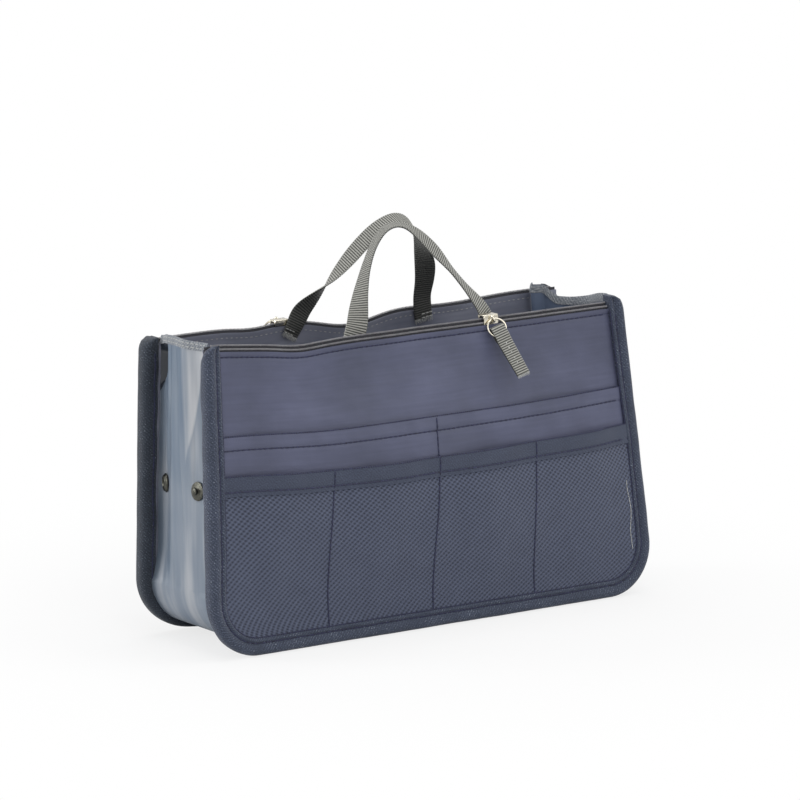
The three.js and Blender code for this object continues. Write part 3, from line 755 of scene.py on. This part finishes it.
gusset = {
    "width": 56, "baseWidth": 60, "thickness": 0.6,                 # flat cloth
    "inset": 6.2, "backInset": 4.4, "top": 152.6, "columns": 90, "rows": 150, "gap": 2.6, "belly": 3,
    "hemDepth": 3.6, "hemRise": 0.5, "hemOut": 0.75, "hemThickness": 0.55,
    # left is -1 and right 1: the deep fold by the back wall, which runs on through the right hem,
    "tuckEdge": {-1: 0.7, 1: 0.86}, "tuckDepth": {-1: 16, 1: 8.4}, "tuckLow": 127,
    "tuckHigh": {-1: 144, 1: 170}, "drawnIn": {-1: 0, 1: 8.6},
    # and how each hem hangs in its middle and stands up at its ends
    "sag": {-1: -5.5, 1: 0.5}, "frontRise": {-1: 3, 1: 6}, "frontRun": {-1: 0.4, 1: 0.7},
    "backRise": {-1: 4.2, 1: 6}, "backFrom": {-1: (0.5, 0.4), 1: (0.72, 0.17)},
}


def stripEnds(x, z):
    gap = gusset["gap"]
    front = -(reachAt(walls["front"], x, z) - gap)
    back = reachAt(walls["back"], x, z) - gap
    return front, back


def gussetFolds(side, z, share):
    # how far the cloth stands inwards: a broad belly outwards, soft hanging waves and one deep tuck by the
    # back wall, which runs down from the hem to a point
    rise = max(0, (z - bag["corner"]) / (bag["height"] - bag["corner"]))
    held = smooth(share / 0.12) * smooth((1 - share) / 0.12)
    broad = -gusset["belly"] * rise * math.sin(math.pi * share) ** 2
    waves = 1.5 * drift(share * 4.2, z / 75, side * 4 + 1) * smooth(z / 60)
    small = 0.5 * drift(share * 11, z / 34, side * 4 + 7)
    low = gusset["tuckLow"]
    edge = mixed(1, gusset["tuckEdge"][side], smooth((z - low) / 11))
    tuck = smooth((share - edge) / 0.05) * (1 - share) / (1 - edge + 0.001) * smooth((z - low) / 12)
    tuck *= gusset["tuckDepth"][side] * (1 - smooth((z - gusset["tuckHigh"][side]) / 4))
    backwards = gusset["backInset"] * smooth((share - 0.6) / 0.4) * smooth((z - 20) / 30)
    backwards += gusset["drawnIn"][side] * smooth((share - 0.45) / 0.42) * smooth((z - 100) / 45)
    return broad + (waves + small) * held + tuck + backwards


def gussetSpot(side, distance, share, inward=0):
    # distance runs up the strip from the end of its flat base
    radius = bag["corner"] - gusset["inset"]
    arc = math.pi / 2 * radius
    if distance < arc:
        turn = distance / radius
        z = gusset["inset"] + inward + (radius - inward) * (1 - math.cos(turn))
        low = edgeHalf(gusset["inset"], gusset["inset"])
        x = low + (edgeHalf(bag["corner"], gusset["inset"]) - low - inward) * math.sin(turn)
        swell = 0.6 * drift(share * 5, distance / 22, side * 3)
        front, back = stripEnds(x, z)
        return Vector((side * (x + swell * math.sin(turn)), mixed(front, back, share) + bag["shift"], z)) * mm
    z = bag["corner"] + distance - arc
    x = edgeHalf(z, gusset["inset"] + inward) - gussetFolds(side, z, share)
    front, back = stripEnds(x, z)
    end = side * edgeHalf(z, 0)
    rise = mixed(edgeRise(walls["front"], end, z), edgeRise(walls["back"], -end, z), share)
    sag = gusset["sag"][side] * math.sin(math.pi * share) ** 2
    start, run = gusset["backFrom"][side]
    sag -= gusset["backRise"][side] * smooth((share - start) / run)
    sag -= gusset["frontRise"][side] * smooth(1 - share / gusset["frontRun"][side])
    sag *= smooth((z - 110) / 43)
    return Vector((side * x, mixed(front, back, share) + bag["shift"], z + rise - sag)) * mm


def gussetLength():
    return math.pi / 2 * (bag["corner"] - gusset["inset"]) + gusset["top"] - bag["corner"]


def buildGusset(name, side):
    length, width, depth = gussetLength(), gusset["width"], gusset["hemDepth"]
    piece = formGrid("cloth_" + name + "_gusset", gusset["columns"], gusset["rows"],
                     lambda u, v: gussetSpot(side, v * length, u), (width, length))
    thicken(piece, gusset["thickness"])
    finishPiece(piece, "gusset", "gusset", nodes=[name + "_gusset"])

    def hemPlace(u, v):
        down = abs(2 * v - 1)       # 0 on the tape's fold, 1 at both its edges
        return gussetSpot(side, length - depth * down + gusset["hemRise"] * (1 - down), u,
                          inward=-gusset["hemOut"] * math.cos(math.pi * v))
    hem = formGrid("tape_" + name + "_gusset_hem", gusset["columns"], 12, hemPlace, (width, 2 * depth))
    thicken(hem, gusset["hemThickness"])
    finishPiece(hem, "gussetHem", "binding", nodes=[name + "_gusset_hem"])
    print("gusset", name)


def buildBase():
    half = edgeHalf(gusset["inset"], gusset["inset"]) - 0.2
    width = gusset["baseWidth"]

    def place(u, v):
        x = (2 * u - 1) * half
        front, back = stripEnds(x, gusset["inset"])
        sag = 1.2 * drift(u * 6, v * 2, 9) * math.sin(math.pi * v)
        return Vector((x, mixed(front, back, v) + bag["shift"], gusset["inset"] + sag)) * mm
    piece = formGrid("cloth_base_panel", 110, 30, place, (2 * half, width))
    thicken(piece, gusset["thickness"])
    finishPiece(piece, "gusset", "gusset", nodes=["base_panel"])
    print("base")


buildGusset("left", -1)
buildGusset("right", 1)
buildBase()

# Zip along each top edge: knitted tapes and rows of coil teeth

zipper = {
    "tapeBottom": 146, "tapeThickness": 0.45, "pitch": 0.85, "coil": 1.15, "endInset": 6.5,
    "rows": {"outer": {"coil": (1.15, 153.4), "tapeOut": 0.75, "turn": 12},        # coil: out and height
             "inner": {"coil": (-0.45, 155.2), "tapeOut": -0.75, "turn": -12}},
}


def edgePath(wall, out, z, spacing=4):
    half = edgeHalf(z, zipper["endInset"])
    count = int(2 * half / spacing)
    return [wallSpot(wall, mixed(-half, half, k / count), z, out) for k in range(count + 1)]


def pathCurve(points):
    curve = startPiece(bpy.ops.curve.primitive_nurbs_path_add)
    curve.data.splines.clear()
    spline = curve.data.splines.new("POLY")
    spline.points.add(len(points) - 1)
    for point, spot in zip(spline.points, points):
        point.co = (*spot, 1)
    curve.data.use_stretch = False
    return curve


def repeatAlong(piece, points, pitch):
    # copies a small piece, modelled at the origin along X, all the way along a path
    curve = pathCurve(points)
    length = sum((b - a).length for a, b in zip(points, points[1:]))
    applyModifier(piece, "ARRAY", count=max(1, int(length / pitch)), use_relative_offset=False,
                  use_constant_offset=True, constant_offset_displace=(pitch, 0, 0))
    applyModifier(piece, "CURVE", object=curve, deform_axis="POS_X")
    bpy.data.objects.remove(curve)
    return piece


sewing = {"length": 3.9, "pitch": 3.1, "thick": 0.75}


def stitchLine(name, points, finish, slot, body="bag", **sizes):
    # a row of stitches, each a small rounded dash half sunk in the cloth
    size = {**sewing, **sizes}
    piece = startPiece(bpy.ops.mesh.primitive_uv_sphere_add, name, segments=6, ring_count=4, radius=0.5,
                       rotation=(0, math.radians(90), 0))
    bpy.ops.object.transform_apply(location=False, rotation=True, scale=False)
    piece.scale = Vector((size["length"], size["thick"], size["thick"])) * mm
    bpy.ops.object.transform_apply(location=False, rotation=False, scale=True)
    repeatAlong(piece, points, size["pitch"] * mm)
    return finishPiece(piece, finish, slot, body=body)


def coilRow(name, wall, spot, turn):
    piece = startPiece(bpy.ops.mesh.primitive_torus_add, name, major_segments=10, minor_segments=4,
                       major_radius=0.3 * zipper["coil"] * mm, minor_radius=0.2 * zipper["coil"] * mm,
                       rotation=(0, math.radians(90), math.radians(turn)))
    bpy.ops.object.transform_apply(location=False, rotation=True, scale=True)
    return repeatAlong(piece, edgePath(wall, *spot), zipper["pitch"] * mm)


def zipTape(name, wall, out, top):
    half = edgeHalf(bag["height"], cloth["tuck"])
    bottom = zipper["tapeBottom"]
    piece = formGrid(name, 150, 10,
                     lambda u, v: wallSpot(wall, (2 * u - 1) * half, mixed(bottom, top, v), out),
                     (2 * half, top - bottom))
    return thicken(piece, zipper["tapeThickness"])


def buildZip(side, wall):
    for part, row in zipper["rows"].items():
        tape = zipTape("tape_%s_zip_%s" % (side, part), wall, row["tapeOut"], row["coil"][1] - 0.3)
        finishPiece(tape, "zipTape", "zip_tape", nodes=["%s_zip_%s_tape" % (side, part)])
        coil = coilRow("coil_%s_zip_%s" % (side, part), wall, row["coil"], row["turn"])
        finishPiece(coil, "zipCoil", "zip_coil", nodes=["%s_zip_%s_coil" % (side, part)])
    print("zip", side)


for side, wall in walls.items():
    buildZip(side, wall)

# Webbing straps

strap = {"stationsPerRib": 6, "ribDepth": 0.17, "edgeRound": 0.55,
         "across": [0, 0.02, 0.07, 0.16, 0.25, 0.34, 0.43, 0.48],      # points on half the way round
         "yarns": 15, "yarnRoot": 0.22, "yarnTip": 0.08}


def stationAt(stations, lengths, distance):
    low, high = 0, len(lengths) - 1
    while high - low > 1:
        middle = (low + high) // 2
        if lengths[middle] <= distance:
            low = middle
        else:
            high = middle
    share = (distance - lengths[low]) / max(1e-9, lengths[high] - lengths[low])
    return [a.lerp(b, share) for a, b in zip(stations[low], stations[high])]


def strapSection(share, width, halfThick):
    # outer face for the first half of the way round, inner face for the second
    face = 1 if share < 0.5 else -1
    across = (share * 2) % 1
    spot = (across - 0.5) * width * face
    edge = min(across, 1 - across) * width
    rounded = min(1, edge / strap["edgeRound"])
    return spot, face * halfThick * math.sqrt(max(0.0, 1 - (1 - rounded) ** 2))


def strapPiece(name, stations, width, thickness):
    # stations in mm: the strap's middle, the way its width runs and the way its outer face looks
    lengths = [0]
    for (a, _, _), (b, _, _) in zip(stations, stations[1:]):
        lengths.append(lengths[-1] + (b - a).length)
    total = lengths[-1]
    steps = int(total / webbing["ribPitch"] * strap["stationsPerRib"])
    shares = strap["across"] + [0.5 + share for share in strap["across"]] + [1]
    around = len(shares) - 1

    def place(u, v):
        middle, crosswise, facing = stationAt(stations, lengths, v * total)
        rib = math.sin(math.tau * v * total / webbing["ribPitch"])
        halfThick = thickness / 2 - strap["ribDepth"] * (0.5 - 0.5 * rib)
        spot, height = strapSection(shares[round(u * around)] % 1, width, halfThick)
        return (middle + crosswise * spot + facing.normalized() * height) * mm
    girth = 2 * (webbing["width"] + webbing["thickness"])
    piece = formGrid(name, around, steps, place, (girth, total))
    return closeSeams(piece), total


def joinPieces(pieces, name):
    bpy.ops.object.select_all(action="DESELECT")
    for piece in pieces:
        piece.select_set(True)
    bpy.context.view_layer.objects.active = pieces[0]
    bpy.ops.object.join()
    joined = bpy.context.object
    joined.name = name
    joined.data.name = name
    return joined


def fringe(foot, along, hang, width, gap, reach, spread):
    # cut yarn ends at the foot of a strap
    inner = along.cross(hang)
    pieces = []
    for layer in (-1, 1):
        for k in range(strap["yarns"]):
            stray = Vector([drift(k * 1.7 + 0.4, layer * 3.3, 2.5 + 9.3 * axis) for axis in range(3)])
            share = k / (strap["yarns"] - 1) - 0.5
            length = reach * (1 + 0.85 * abs(stray.x))
            way = (hang + (along * stray.y + inner * stray.z) * spread).normalized()
            root = foot + along * share * width + inner * layer * gap
            pieces.append(startPiece(
                bpy.ops.mesh.primitive_cone_add, vertices=5, radius1=strap["yarnRoot"] * mm,
                radius2=strap["yarnTip"] * mm, depth=length * mm, location=(root + way * length / 2) * mm,
                rotation=way.to_track_quat("Z", "Y").to_euler()))
            bpy.ops.object.transform_apply(location=True, rotation=True, scale=True)
    return pieces


# Handles: one strap each, sewn inside the wall and turned a quarter at its top

handle = {
    "hinge": {"front": (-33, 47), "back": (-37, 40.5)},     # left and right leg at the hinge line
    "sewn": {"front": (-38, 52), "back": (-43, 42.5)},      # and at the sewn ends
    "lean": 20.5, "slouch": 1.5,        # lean over the bag as made, and how much more it hangs
    "tailEnd": 148, "tailSteps": 20, "pivot": 160, "pivotIn": 4, "blend": 4,   # heights, half the blend
    "loopGap": 0.45, "loopSteps": 400, "step": 0.5, "easing": 90,
    "stitch": {"length": 2.2, "pitch": 2.4, "thick": 0.6}, "fray": 1.9, "fraySpread": 0.9,
    "round": {"front": 115, "back": 90},                    # how round the top of each loop is
    "sway": {"front": -3.4, "back": 8.9}, "sink": {"front": 1.3, "back": 0},      # how each loop has slumped
    "turn": {"front": [35, 68, 90, 97, 90, 63, 34, 26, 46, 41, 20],               # degrees, along each loop
             "back": [2, 18, 55, 98, 105, 82, 91, 91, 68, 23, -21]},
}


def evenly(points, step):
    lengths = [0]
    for a, b in zip(points, points[1:]):
        lengths.append(lengths[-1] + (b - a).length)
    count = round(lengths[-1] / step)
    spots = [(point,) for point in points]
    return [stationAt(spots, lengths, lengths[-1] * k / count)[0] for k in range(count + 1)]


def turnAt(turns, share):
    spot = min(max(share, 0), 1) * (len(turns) - 1)
    first = min(int(spot), len(turns) - 2)
    return mixed(turns[first], turns[first + 1], spot - first)


def eased(values):
    for _ in range(handle["easing"]):
        inner = [(a + 2 * b + c) / 4 for a, b, c in zip(values, values[1:], values[2:])]
        values = values[:1] + inner + values[-1:]
    return values


def handleLine(name, wall, loopTop):
    side = wall["side"]
    lean = math.radians(handle["lean"] + handle["slouch"])
    across = Vector((-side, 0, 0))
    up = Vector((0, -side * math.sin(lean), math.cos(lean)))
    outward = Vector((0, side * math.cos(lean), math.sin(lean)))
    left, right = handle["hinge"][name]
    half = (right - left) / 2
    pivot = Vector(((left + right) / 2, side * (wall["topReach"] - handle["pivotIn"]) + bag["shift"],
                    handle["pivot"]))
    rounding = handle["round"][name]
    top = loopTop + rounding
    slope = math.sqrt((top - handle["loopGap"]) ** 2 - rounding ** 2) / half
    loop = []
    for k in range(handle["loopSteps"] + 1):
        x = -half * math.cos(math.pi * k / handle["loopSteps"])
        rise = top - math.hypot(slope * x, rounding)
        slump = 1 - (1 - rise / loopTop) ** 3
        loop.append(pivot + across * x + up * (rise - handle["sink"][name] * slump)
                    + Vector((handle["sway"][name] * slump, 0, 0)))
    rising, falling = [], []
    for k in range(handle["tailSteps"]):
        share = k / handle["tailSteps"]
        z = mixed(handle["tailEnd"], handle["pivot"], share)
        legs = [mixed(a, b, share) for a, b in zip(handle["sewn"][name], handle["hinge"][name])]
        inner = wallSpot(wall, legs[1], z, -2.6).y / mm
        y = mixed(inner, pivot.y, smooth((z - 144) / 9))
        first, second = legs if side < 0 else reversed(legs)
        rising.append(Vector((first, y, z)))
        falling.insert(0, Vector((second, y, z)))
    line = evenly(rising + loop + falling, handle["step"])
    line = eased(line)      # the strap is too stiff to crease where it leaves the wall
    last = len(line) - 1
    foot = (loop[0] - rising[0]).length / handle["step"]
    turns = []
    for k in range(last + 1):
        held = smooth(min(k, last - k) / foot)
        turns.append(held * turnAt(handle["turn"][name], (k - foot) / (last - 2 * foot)))
    turns = eased(turns)
    stations = []
    for k, middle in enumerate(line):
        run = (line[min(k + 1, last)] - line[max(k - 1, 0)]).normalized()
        rim = across * -run.dot(up) + up * run.dot(across)
        twist = math.radians(turns[k])
        facing = outward * math.cos(twist) + rim * math.sin(twist)
        stations.append((middle, run.cross(facing).normalized(), facing))
    return stations


def buildHandle(side, wall):
    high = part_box(side + "_handle")[1]
    lean = math.radians(handle["lean"])
    strapTop = (high.z / mm - handle["pivot"] - webbing["width"] / 2 * math.sin(lean)) / math.cos(lean)
    loopTop = strapTop - webbing["thickness"] / 2
    stations = handleLine(side, wall, loopTop)
    piece, total = strapPiece("strap_%s_handle" % side, stations, webbing["width"], webbing["thickness"])
    names = [side + "_handle", side + "_handle_left_tail", side + "_handle_right_tail"]
    finishPiece(piece, "webbing", "webbing", body=None, nodes=names, angle=50)
    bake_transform(piece)
    inward = -stations[0][2] * (webbing["thickness"] / 2 + 0.1)
    for end, beside in ((0, 7), (-1, -8)):
        spot = "left" if (end == 0) == (side == "front") else "right"
        for row, share in (("low", 0.15), ("high", 0.75)):
            middle = stations[end][0].lerp(stations[beside][0], share) + inward
            half = stations[end][1] * (webbing["width"] / 2 - 1)
            line = [(middle + half * mixed(-1, 1, k / 4)) * mm for k in range(5)]
            stitchLine("stitch_%s_handle_%s_%s" % (side, spot, row), line, "paleThread", "webbing",
                       **handle["stitch"])
        # the ends were cut without sealing, so their yarn has frayed
        foot, along, _ = stations[end]
        hang = (foot - stations[beside][0]).normalized()
        yarns = fringe(foot + inward * 0.4, along, hang, webbing["width"] - 1, 0.4, handle["fray"],
                       handle["fraySpread"])
        ends = joinPieces(yarns, "yarn_%s_handle_%s" % (side, spot))
        finishPiece(ends, "paleThread", "webbing")
    print("handle", side, "strap", round(total), "mm, loop", round(loopTop, 2))


for side, wall in walls.items():
    buildHandle(side, wall)

# Zip pulls: slider with its eye, wire ring, and a tab of webbing folded through the ring

pull = {
    "plate": (9, 6, 1.2), "plateTop": {"front": 157.5, "back": 156.6}, "waist": 0.8,
    "skirt": (9.4, 1.3, 5.6), "innerSkirt": 2.6, "skirtOut": 2.35, "skirtLap": 0.6,
    "eye": (1.6, 1.1), "eyeOut": 3.8, "eyeHeight": 155.2,
    "bridge": (2.6, 1.9, 3.4), "bridgeOut": 3.2, "bridgeDrop": 1.7,
    "ring": 5, "wire": 1.05, "tilt": 28, "ringSlip": 14, "slip": 12,    # slips and tilt in degrees
    "fold": 1.2, "foldAt": 5.6, "pocketEnd": 10.8, "sewnAt": 13.8, "sewnGap": 0.42, "end": 33.6,
    "width": 8.2, "endShare": 0.88, "thickness": 0.8,
    "stitch": {"length": 1.1, "pitch": 2.9, "thick": 0.7}, "fray": 1.3, "fraySpread": 0.35,
}


def block(size, centre, bevel):
    piece = startPiece(bpy.ops.mesh.primitive_cube_add, size=1, location=centre * mm)
    piece.scale = Vector(size) * mm
    bpy.ops.object.transform_apply(location=True, rotation=False, scale=True)
    return applyModifier(piece, "BEVEL", width=bevel * mm, segments=3)


def wireRing(centre, axis, radius, wire, segments):
    ring = startPiece(bpy.ops.mesh.primitive_torus_add, major_segments=segments, minor_segments=12,
                      major_radius=radius * mm, minor_radius=wire / 2 * mm, location=centre * mm,
                      rotation=axis.to_track_quat("Z", "Y").to_euler())
    bpy.ops.object.transform_apply(location=True, rotation=True, scale=True)
    return ring


def pullFrame(side, wall):
    tilt = math.radians(pull["tilt"])
    along = Vector((-wall["side"] * math.cos(tilt), 0, math.sin(tilt)))
    eye = Vector((middleOf(side + "_zip_slider").x / mm,
                  wall["side"] * (wall["topReach"] + pull["eyeOut"]) + bag["shift"], pull["eyeHeight"]))
    hang = (middleOf(side + "_pull_ring") / mm - eye).normalized()
    return eye, along, hang


def buildSlider(side, wall, eye, along):
    middle = Vector((eye.x, wall["side"] * wall["topReach"] + bag["shift"], pull["plateTop"][side]))
    out = Vector((0, wall["side"], 0))
    plate = block(pull["plate"], middle - Vector((0, 0, pull["plate"][2] / 2)), 0.4)
    pieces = [plate]
    length, thick, _ = pull["skirt"]
    for way, depth in ((-1, pull["innerSkirt"]), (1, pull["skirt"][2])):
        drop = pull["plate"][2] + depth / 2 - pull["skirtLap"]
        centre = middle + out * way * pull["skirtOut"] - Vector((0, 0, drop))
        pieces.append(block((length, thick, depth), centre, 0.35))
    bridge = middle + out * pull["bridgeOut"] - Vector((0, 0, pull["bridgeDrop"]))
    pieces.append(block(pull["bridge"], bridge, 0.6))
    pieces.append(wireRing(eye, along, *pull["eye"], 28))
    piece = joinPieces(pieces, "metal_%s_zip_slider" % side)
    # the slider narrows to the end that the pull leads
    for point in piece.data.vertices:
        lead = -wall["side"] * (point.co.x / mm - middle.x) / pull["plate"][0]
        offset = point.co.y / mm - middle.y
        if abs(offset) < pull["plate"][1] / 2 + 0.1:
            narrow = mixed(1, pull["waist"], smooth(lead + 0.1))
            point.co.y = (middle.y + offset * (narrow if offset * wall["side"] > 0 else 1)) * mm
    finishPiece(piece, "nickel", "nickel", body=side + "_slider", nodes=[side + "_zip_slider"])


def tabStations(eye, along, hang):
    # up the inner layer, over the ring's lower half and down the outer layer
    inner = along.cross(hang)
    fold, bend = pull["fold"], pull["foldAt"]
    line = [(pull["end"], pull["sewnGap"], 1), (pull["sewnAt"], pull["sewnGap"], 1),
            (pull["pocketEnd"], fold, 1), (bend, fold, 1)]
    line += [(bend - fold * math.sin(math.pi * k / 12), fold * math.cos(math.pi * k / 12), None)
             for k in range(1, 12)]
    line += [(down, -out, -1) for down, out, _ in reversed(line[:4])]
    stations = []
    for down, out, face in line:
        facing = inner * face if face else (-hang * (bend - down) + inner * out).normalized()
        narrow = mixed(1, pull["endShare"], smooth((down - pull["sewnAt"]) / (pull["end"] - pull["sewnAt"])))
        stations.append((eye + hang * down + inner * out, -along * narrow, facing))
    return stations


def buildPull(side, wall):
    eye, along, hang = pullFrame(side, wall)
    buildSlider(side, wall, eye, along)
    body = side + "_pull"
    facing = along.cross(hang)
    centre = eye + Quaternion(facing, math.radians(pull["ringSlip"])) @ hang * pull["ring"]
    ring = wireRing(centre, facing, pull["ring"], pull["wire"], 56)
    ring.name = "metal_%s_pull_ring" % side
    finishPiece(ring, "nickel", "nickel", body=body, nodes=[side + "_pull_ring"])
    slipped = Quaternion(facing, math.radians(pull["slip"]))
    along, hang = slipped @ along, slipped @ hang
    eye = centre - hang * pull["ring"]
    stations = tabStations(eye, along, hang)
    tab, length = strapPiece("webbing_%s_pull_tab" % side, stations, pull["width"], pull["thickness"])
    finishPiece(tab, "webbing", "webbing", body=body, nodes=[side + "_pull_tab"], angle=50)
    foot = eye + hang * (pull["end"] - 0.3)
    yarns = fringe(foot, along, hang, pull["width"] * pull["endShare"] - 0.6, pull["sewnGap"], pull["fray"],
                   pull["fraySpread"])
    ends = joinPieces(yarns, "yarn_%s_pull_tab" % side)
    finishPiece(ends, "paleThread", "webbing", body=body)
    inner = along.cross(hang)
    for face, way in (("outer", -1), ("inner", 1)):
        line = [(eye + hang * mixed(pull["sewnAt"] + 1, pull["end"] - 2, k / 8)
                 + inner * way * (pull["sewnGap"] + pull["thickness"] / 2)) * mm for k in range(9)]
        stitchLine("stitch_%s_pull_tab_%s" % (side, face), line, "paleThread", "webbing", body=body,
                   **pull["stitch"])
    print("pull", side, "tab", round(length), "mm")


for side, wall in walls.items():
    buildPull(side, wall)

# Press studs on the gussets, and their caps on the inside

snap = {
    "height": 82, "seat": 0.75,
    "around": 40, "besideUp": 4, "besideAcross": 0.06,      # steps round, and reach for the cloth's slope
    # radius and height, from the seat outwards
    "socket": [(0, 0), (4.7, 0), (5, 0.3), (4.9, 0.75), (4.5, 1.0), (4.2, 1.5), (3.5, 1.85), (2.8, 1.8),
               (2.4, 1.5), (2.3, 0.7), (0, 0.6)],
    "stud": [(0, 0), (4.7, 0), (5, 0.3), (4.8, 0.7), (3.4, 0.95), (2.3, 1.05), (1.8, 1.35), (1.75, 1.8),
             (2.0, 2.2), (1.85, 2.75), (1.3, 3.0), (0, 3.05)],
    "cap": [(0, 0), (4.3, 0), (4.5, 0.25), (4.3, 0.6), (3.6, 0.85), (1.8, 0.95), (0, 0.9)],
}


def turnedPiece(name, profile, seat, axis):
    square = axis.to_track_quat("Z", "Y")
    rows = len(profile) - 1

    def place(u, v):
        radius, height = profile[round(v * rows)]
        turn = math.tau * u
        return (seat + square @ Vector((radius * math.cos(turn), radius * math.sin(turn), height))) * mm
    return closeSeams(formGrid(name, snap["around"], rows, place, (31, 12)))


def buildSnaps(name, side):
    for half in ("socket", "stud"):
        node = "%s_snap_%s" % (name, half)
        spot = middleOf(node) / mm
        x = edgeHalf(snap["height"], gusset["inset"])
        front, back = stripEnds(x, snap["height"])
        share = (spot.y - bag["shift"] - front) / (back - front)
        distance = snap["height"] - bag["corner"] + math.pi / 2 * (bag["corner"] - gusset["inset"])
        seat = gussetSpot(side, distance, share) / mm
        up, aside = snap["besideUp"], snap["besideAcross"]
        rise = gussetSpot(side, distance + up, share) - gussetSpot(side, distance - up, share)
        depthwise = gussetSpot(side, distance, share + aside) - gussetSpot(side, distance, share - aside)
        axis = rise.cross(depthwise).normalized()
        axis *= 1 if axis.x * side > 0 else -1
        piece = turnedPiece("metal_" + node, snap[half], seat + axis * snap["seat"], axis)
        finishPiece(piece, "gunmetal", "gunmetal", nodes=[node], angle=30)
        cap = turnedPiece("metal_%s_%s_cap" % (name, half), snap["cap"], seat - axis * snap["seat"], -axis)
        finishPiece(cap, "gunmetal", "gunmetal", nodes=["%s_%s_cap" % (name, half)], angle=30)
    print("snaps", name)


buildSnaps("left", -1)
buildSnaps("right", 1)

# Seams

seams = {
    "rows": {       # along each wall: height, the cloth it lies on, and how far above it
        "zip": (cloth["zipStitch"], panelOut, 0.3),
        "slot": (cloth["slotStitch"], slotOut, 0.3),
        "hem": (cloth["hemStitch"], hemOut, 0.55),
        # the two edge rows are dark gapless lines along the pocket mouths: part dark edge, part painted shade
        # in the gap under it
        "slot_shade_edge": (cloth["slotTop"] + 0.1, slotOut, 0.15),
        "hem_shade_edge": (cloth["hemTop"] + 0.25, hemOut, 0.35),
    },
    "rims": {       # round each binding: inset and out
        "binding_out": (binding["stitchInset"], 3.9),
        "binding_in": (binding["stitchInset"], -2.7),
        # a dark gapless line of painted shade where the binding meets the panel
        "binding_shade_side": (9.3, 3.4),
    },
    "dividers": {   # up each wall: share of its half width, and top
        "divider_1": (-0.5, cloth["hemTop"] + 2.5),
        "divider_2": (0, cloth["slotTop"] + 2.5),
        "divider_3": (0.5, cloth["hemTop"] + 2.5),
    },
    "lining": (cloth["liningStitch"], liningOut, -0.3),
    # sizes of the gapless dark lines of painted shade
    "shadeLine": {"length": 2, "pitch": 1.3, "thick": 0.9},
}


def wallLine(wall, z, out, lift):
    half = edgeHalf(z, bag["bindingWidth"])
    count = int(2 * half / 3)
    line = []
    for k in range(count + 1):
        x = mixed(-half, half, k / count)
        line.append(wallSpot(wall, x, z, out(wall, x, z) + lift))
    return line


def dividerLine(wall, share, top):
    # the row wanders a little, as sewn by hand over the pad
    line = []
    count = int((top - bag["bindingWidth"]) / 2.5)
    for k in range(count + 1):
        z = mixed(bag["bindingWidth"], top, k / count)
        x = share * edgeHalf(max(z, bag["corner"]), bag["bindingWidth"])
        x += mixed(-2.4, 1.4, z / cloth["slotTop"]) - 4 * math.sin(math.pi * min(1, z / cloth["slotTop"]))
        if z > cloth["hemTop"]:
            out = slotOut(wall, x, z) + 0.3
        elif z > cloth["hemBottom"]:
            out = hemOut(wall, x, z) + 0.6
        else:
            out = meshOut(wall, x, z) + 0.3
        line.append(wallSpot(wall, x, z, out))
    return line


def bindingLine(wall, inset, out):
    total = rimLength()
    count = int(total / 3)
    return [bindingSpot(wall, mixed(5, total - 5, k / count), inset, out) for k in range(count + 1)]


def buildSeams(side, wall):
    navy = {name: wallLine(wall, *row) for name, row in seams["rows"].items()}
    navy.update({name: bindingLine(wall, *rim) for name, rim in seams["rims"].items()})
    navy.update({name: dividerLine(wall, *row) for name, row in seams["dividers"].items()})
    for name, line in navy.items():
        # painted shade: the lines along the pocket edges and beside the binding run on without gaps and carry
        # the shadow in the gaps there; the other navy rows are thick and their stitches overlap, so they
        # carry the dark crease along each seam as well as the thread
        sizes = seams["shadeLine"] if name.endswith(("edge", "side")) else {"thick": 1}
        stitchLine("stitch_%s_%s" % (side, name), line, "navyThread", "binding", **sizes)
    stitchLine("stitch_%s_lining" % side, wallLine(wall, *seams["lining"]), "paleThread", "nylon",
               length=1.6, thick=0.34)
    print("seams", side)


def buildHemSeam(name, side):
    low = gussetLength() - gusset["hemDepth"] + 1.3
    for row, rise in (("low", 0), ("high", 1.9)):
        line = [gussetSpot(side, low + rise, mixed(0.04, 0.96, k / 24), inward=-1.15) for k in range(25)]
        stitchLine("stitch_%s_gusset_%s" % (name, row), line, "paleThread", "gusset", length=2, thick=0.4)


def buildLooseThread():
    # a pale end of yarn left lying along the mesh by the front's lower right corner
    wall = walls["front"]
    line = []
    for k in range(14):
        z = mixed(26, 64, k / 13)
        x = edgeHalf(z, 12.2 + 0.8 * math.sin(k * 0.7))
        line.append(wallSpot(wall, x, z, meshOut(wall, x, z) + 0.4))
    stitchLine("stitch_front_loose_thread", line, "paleThread", "binding", thick=0.4)


for side, wall in walls.items():
    buildSeams(side, wall)
buildLooseThread()
buildHemSeam("left", -1)
buildHemSeam("right", 1)
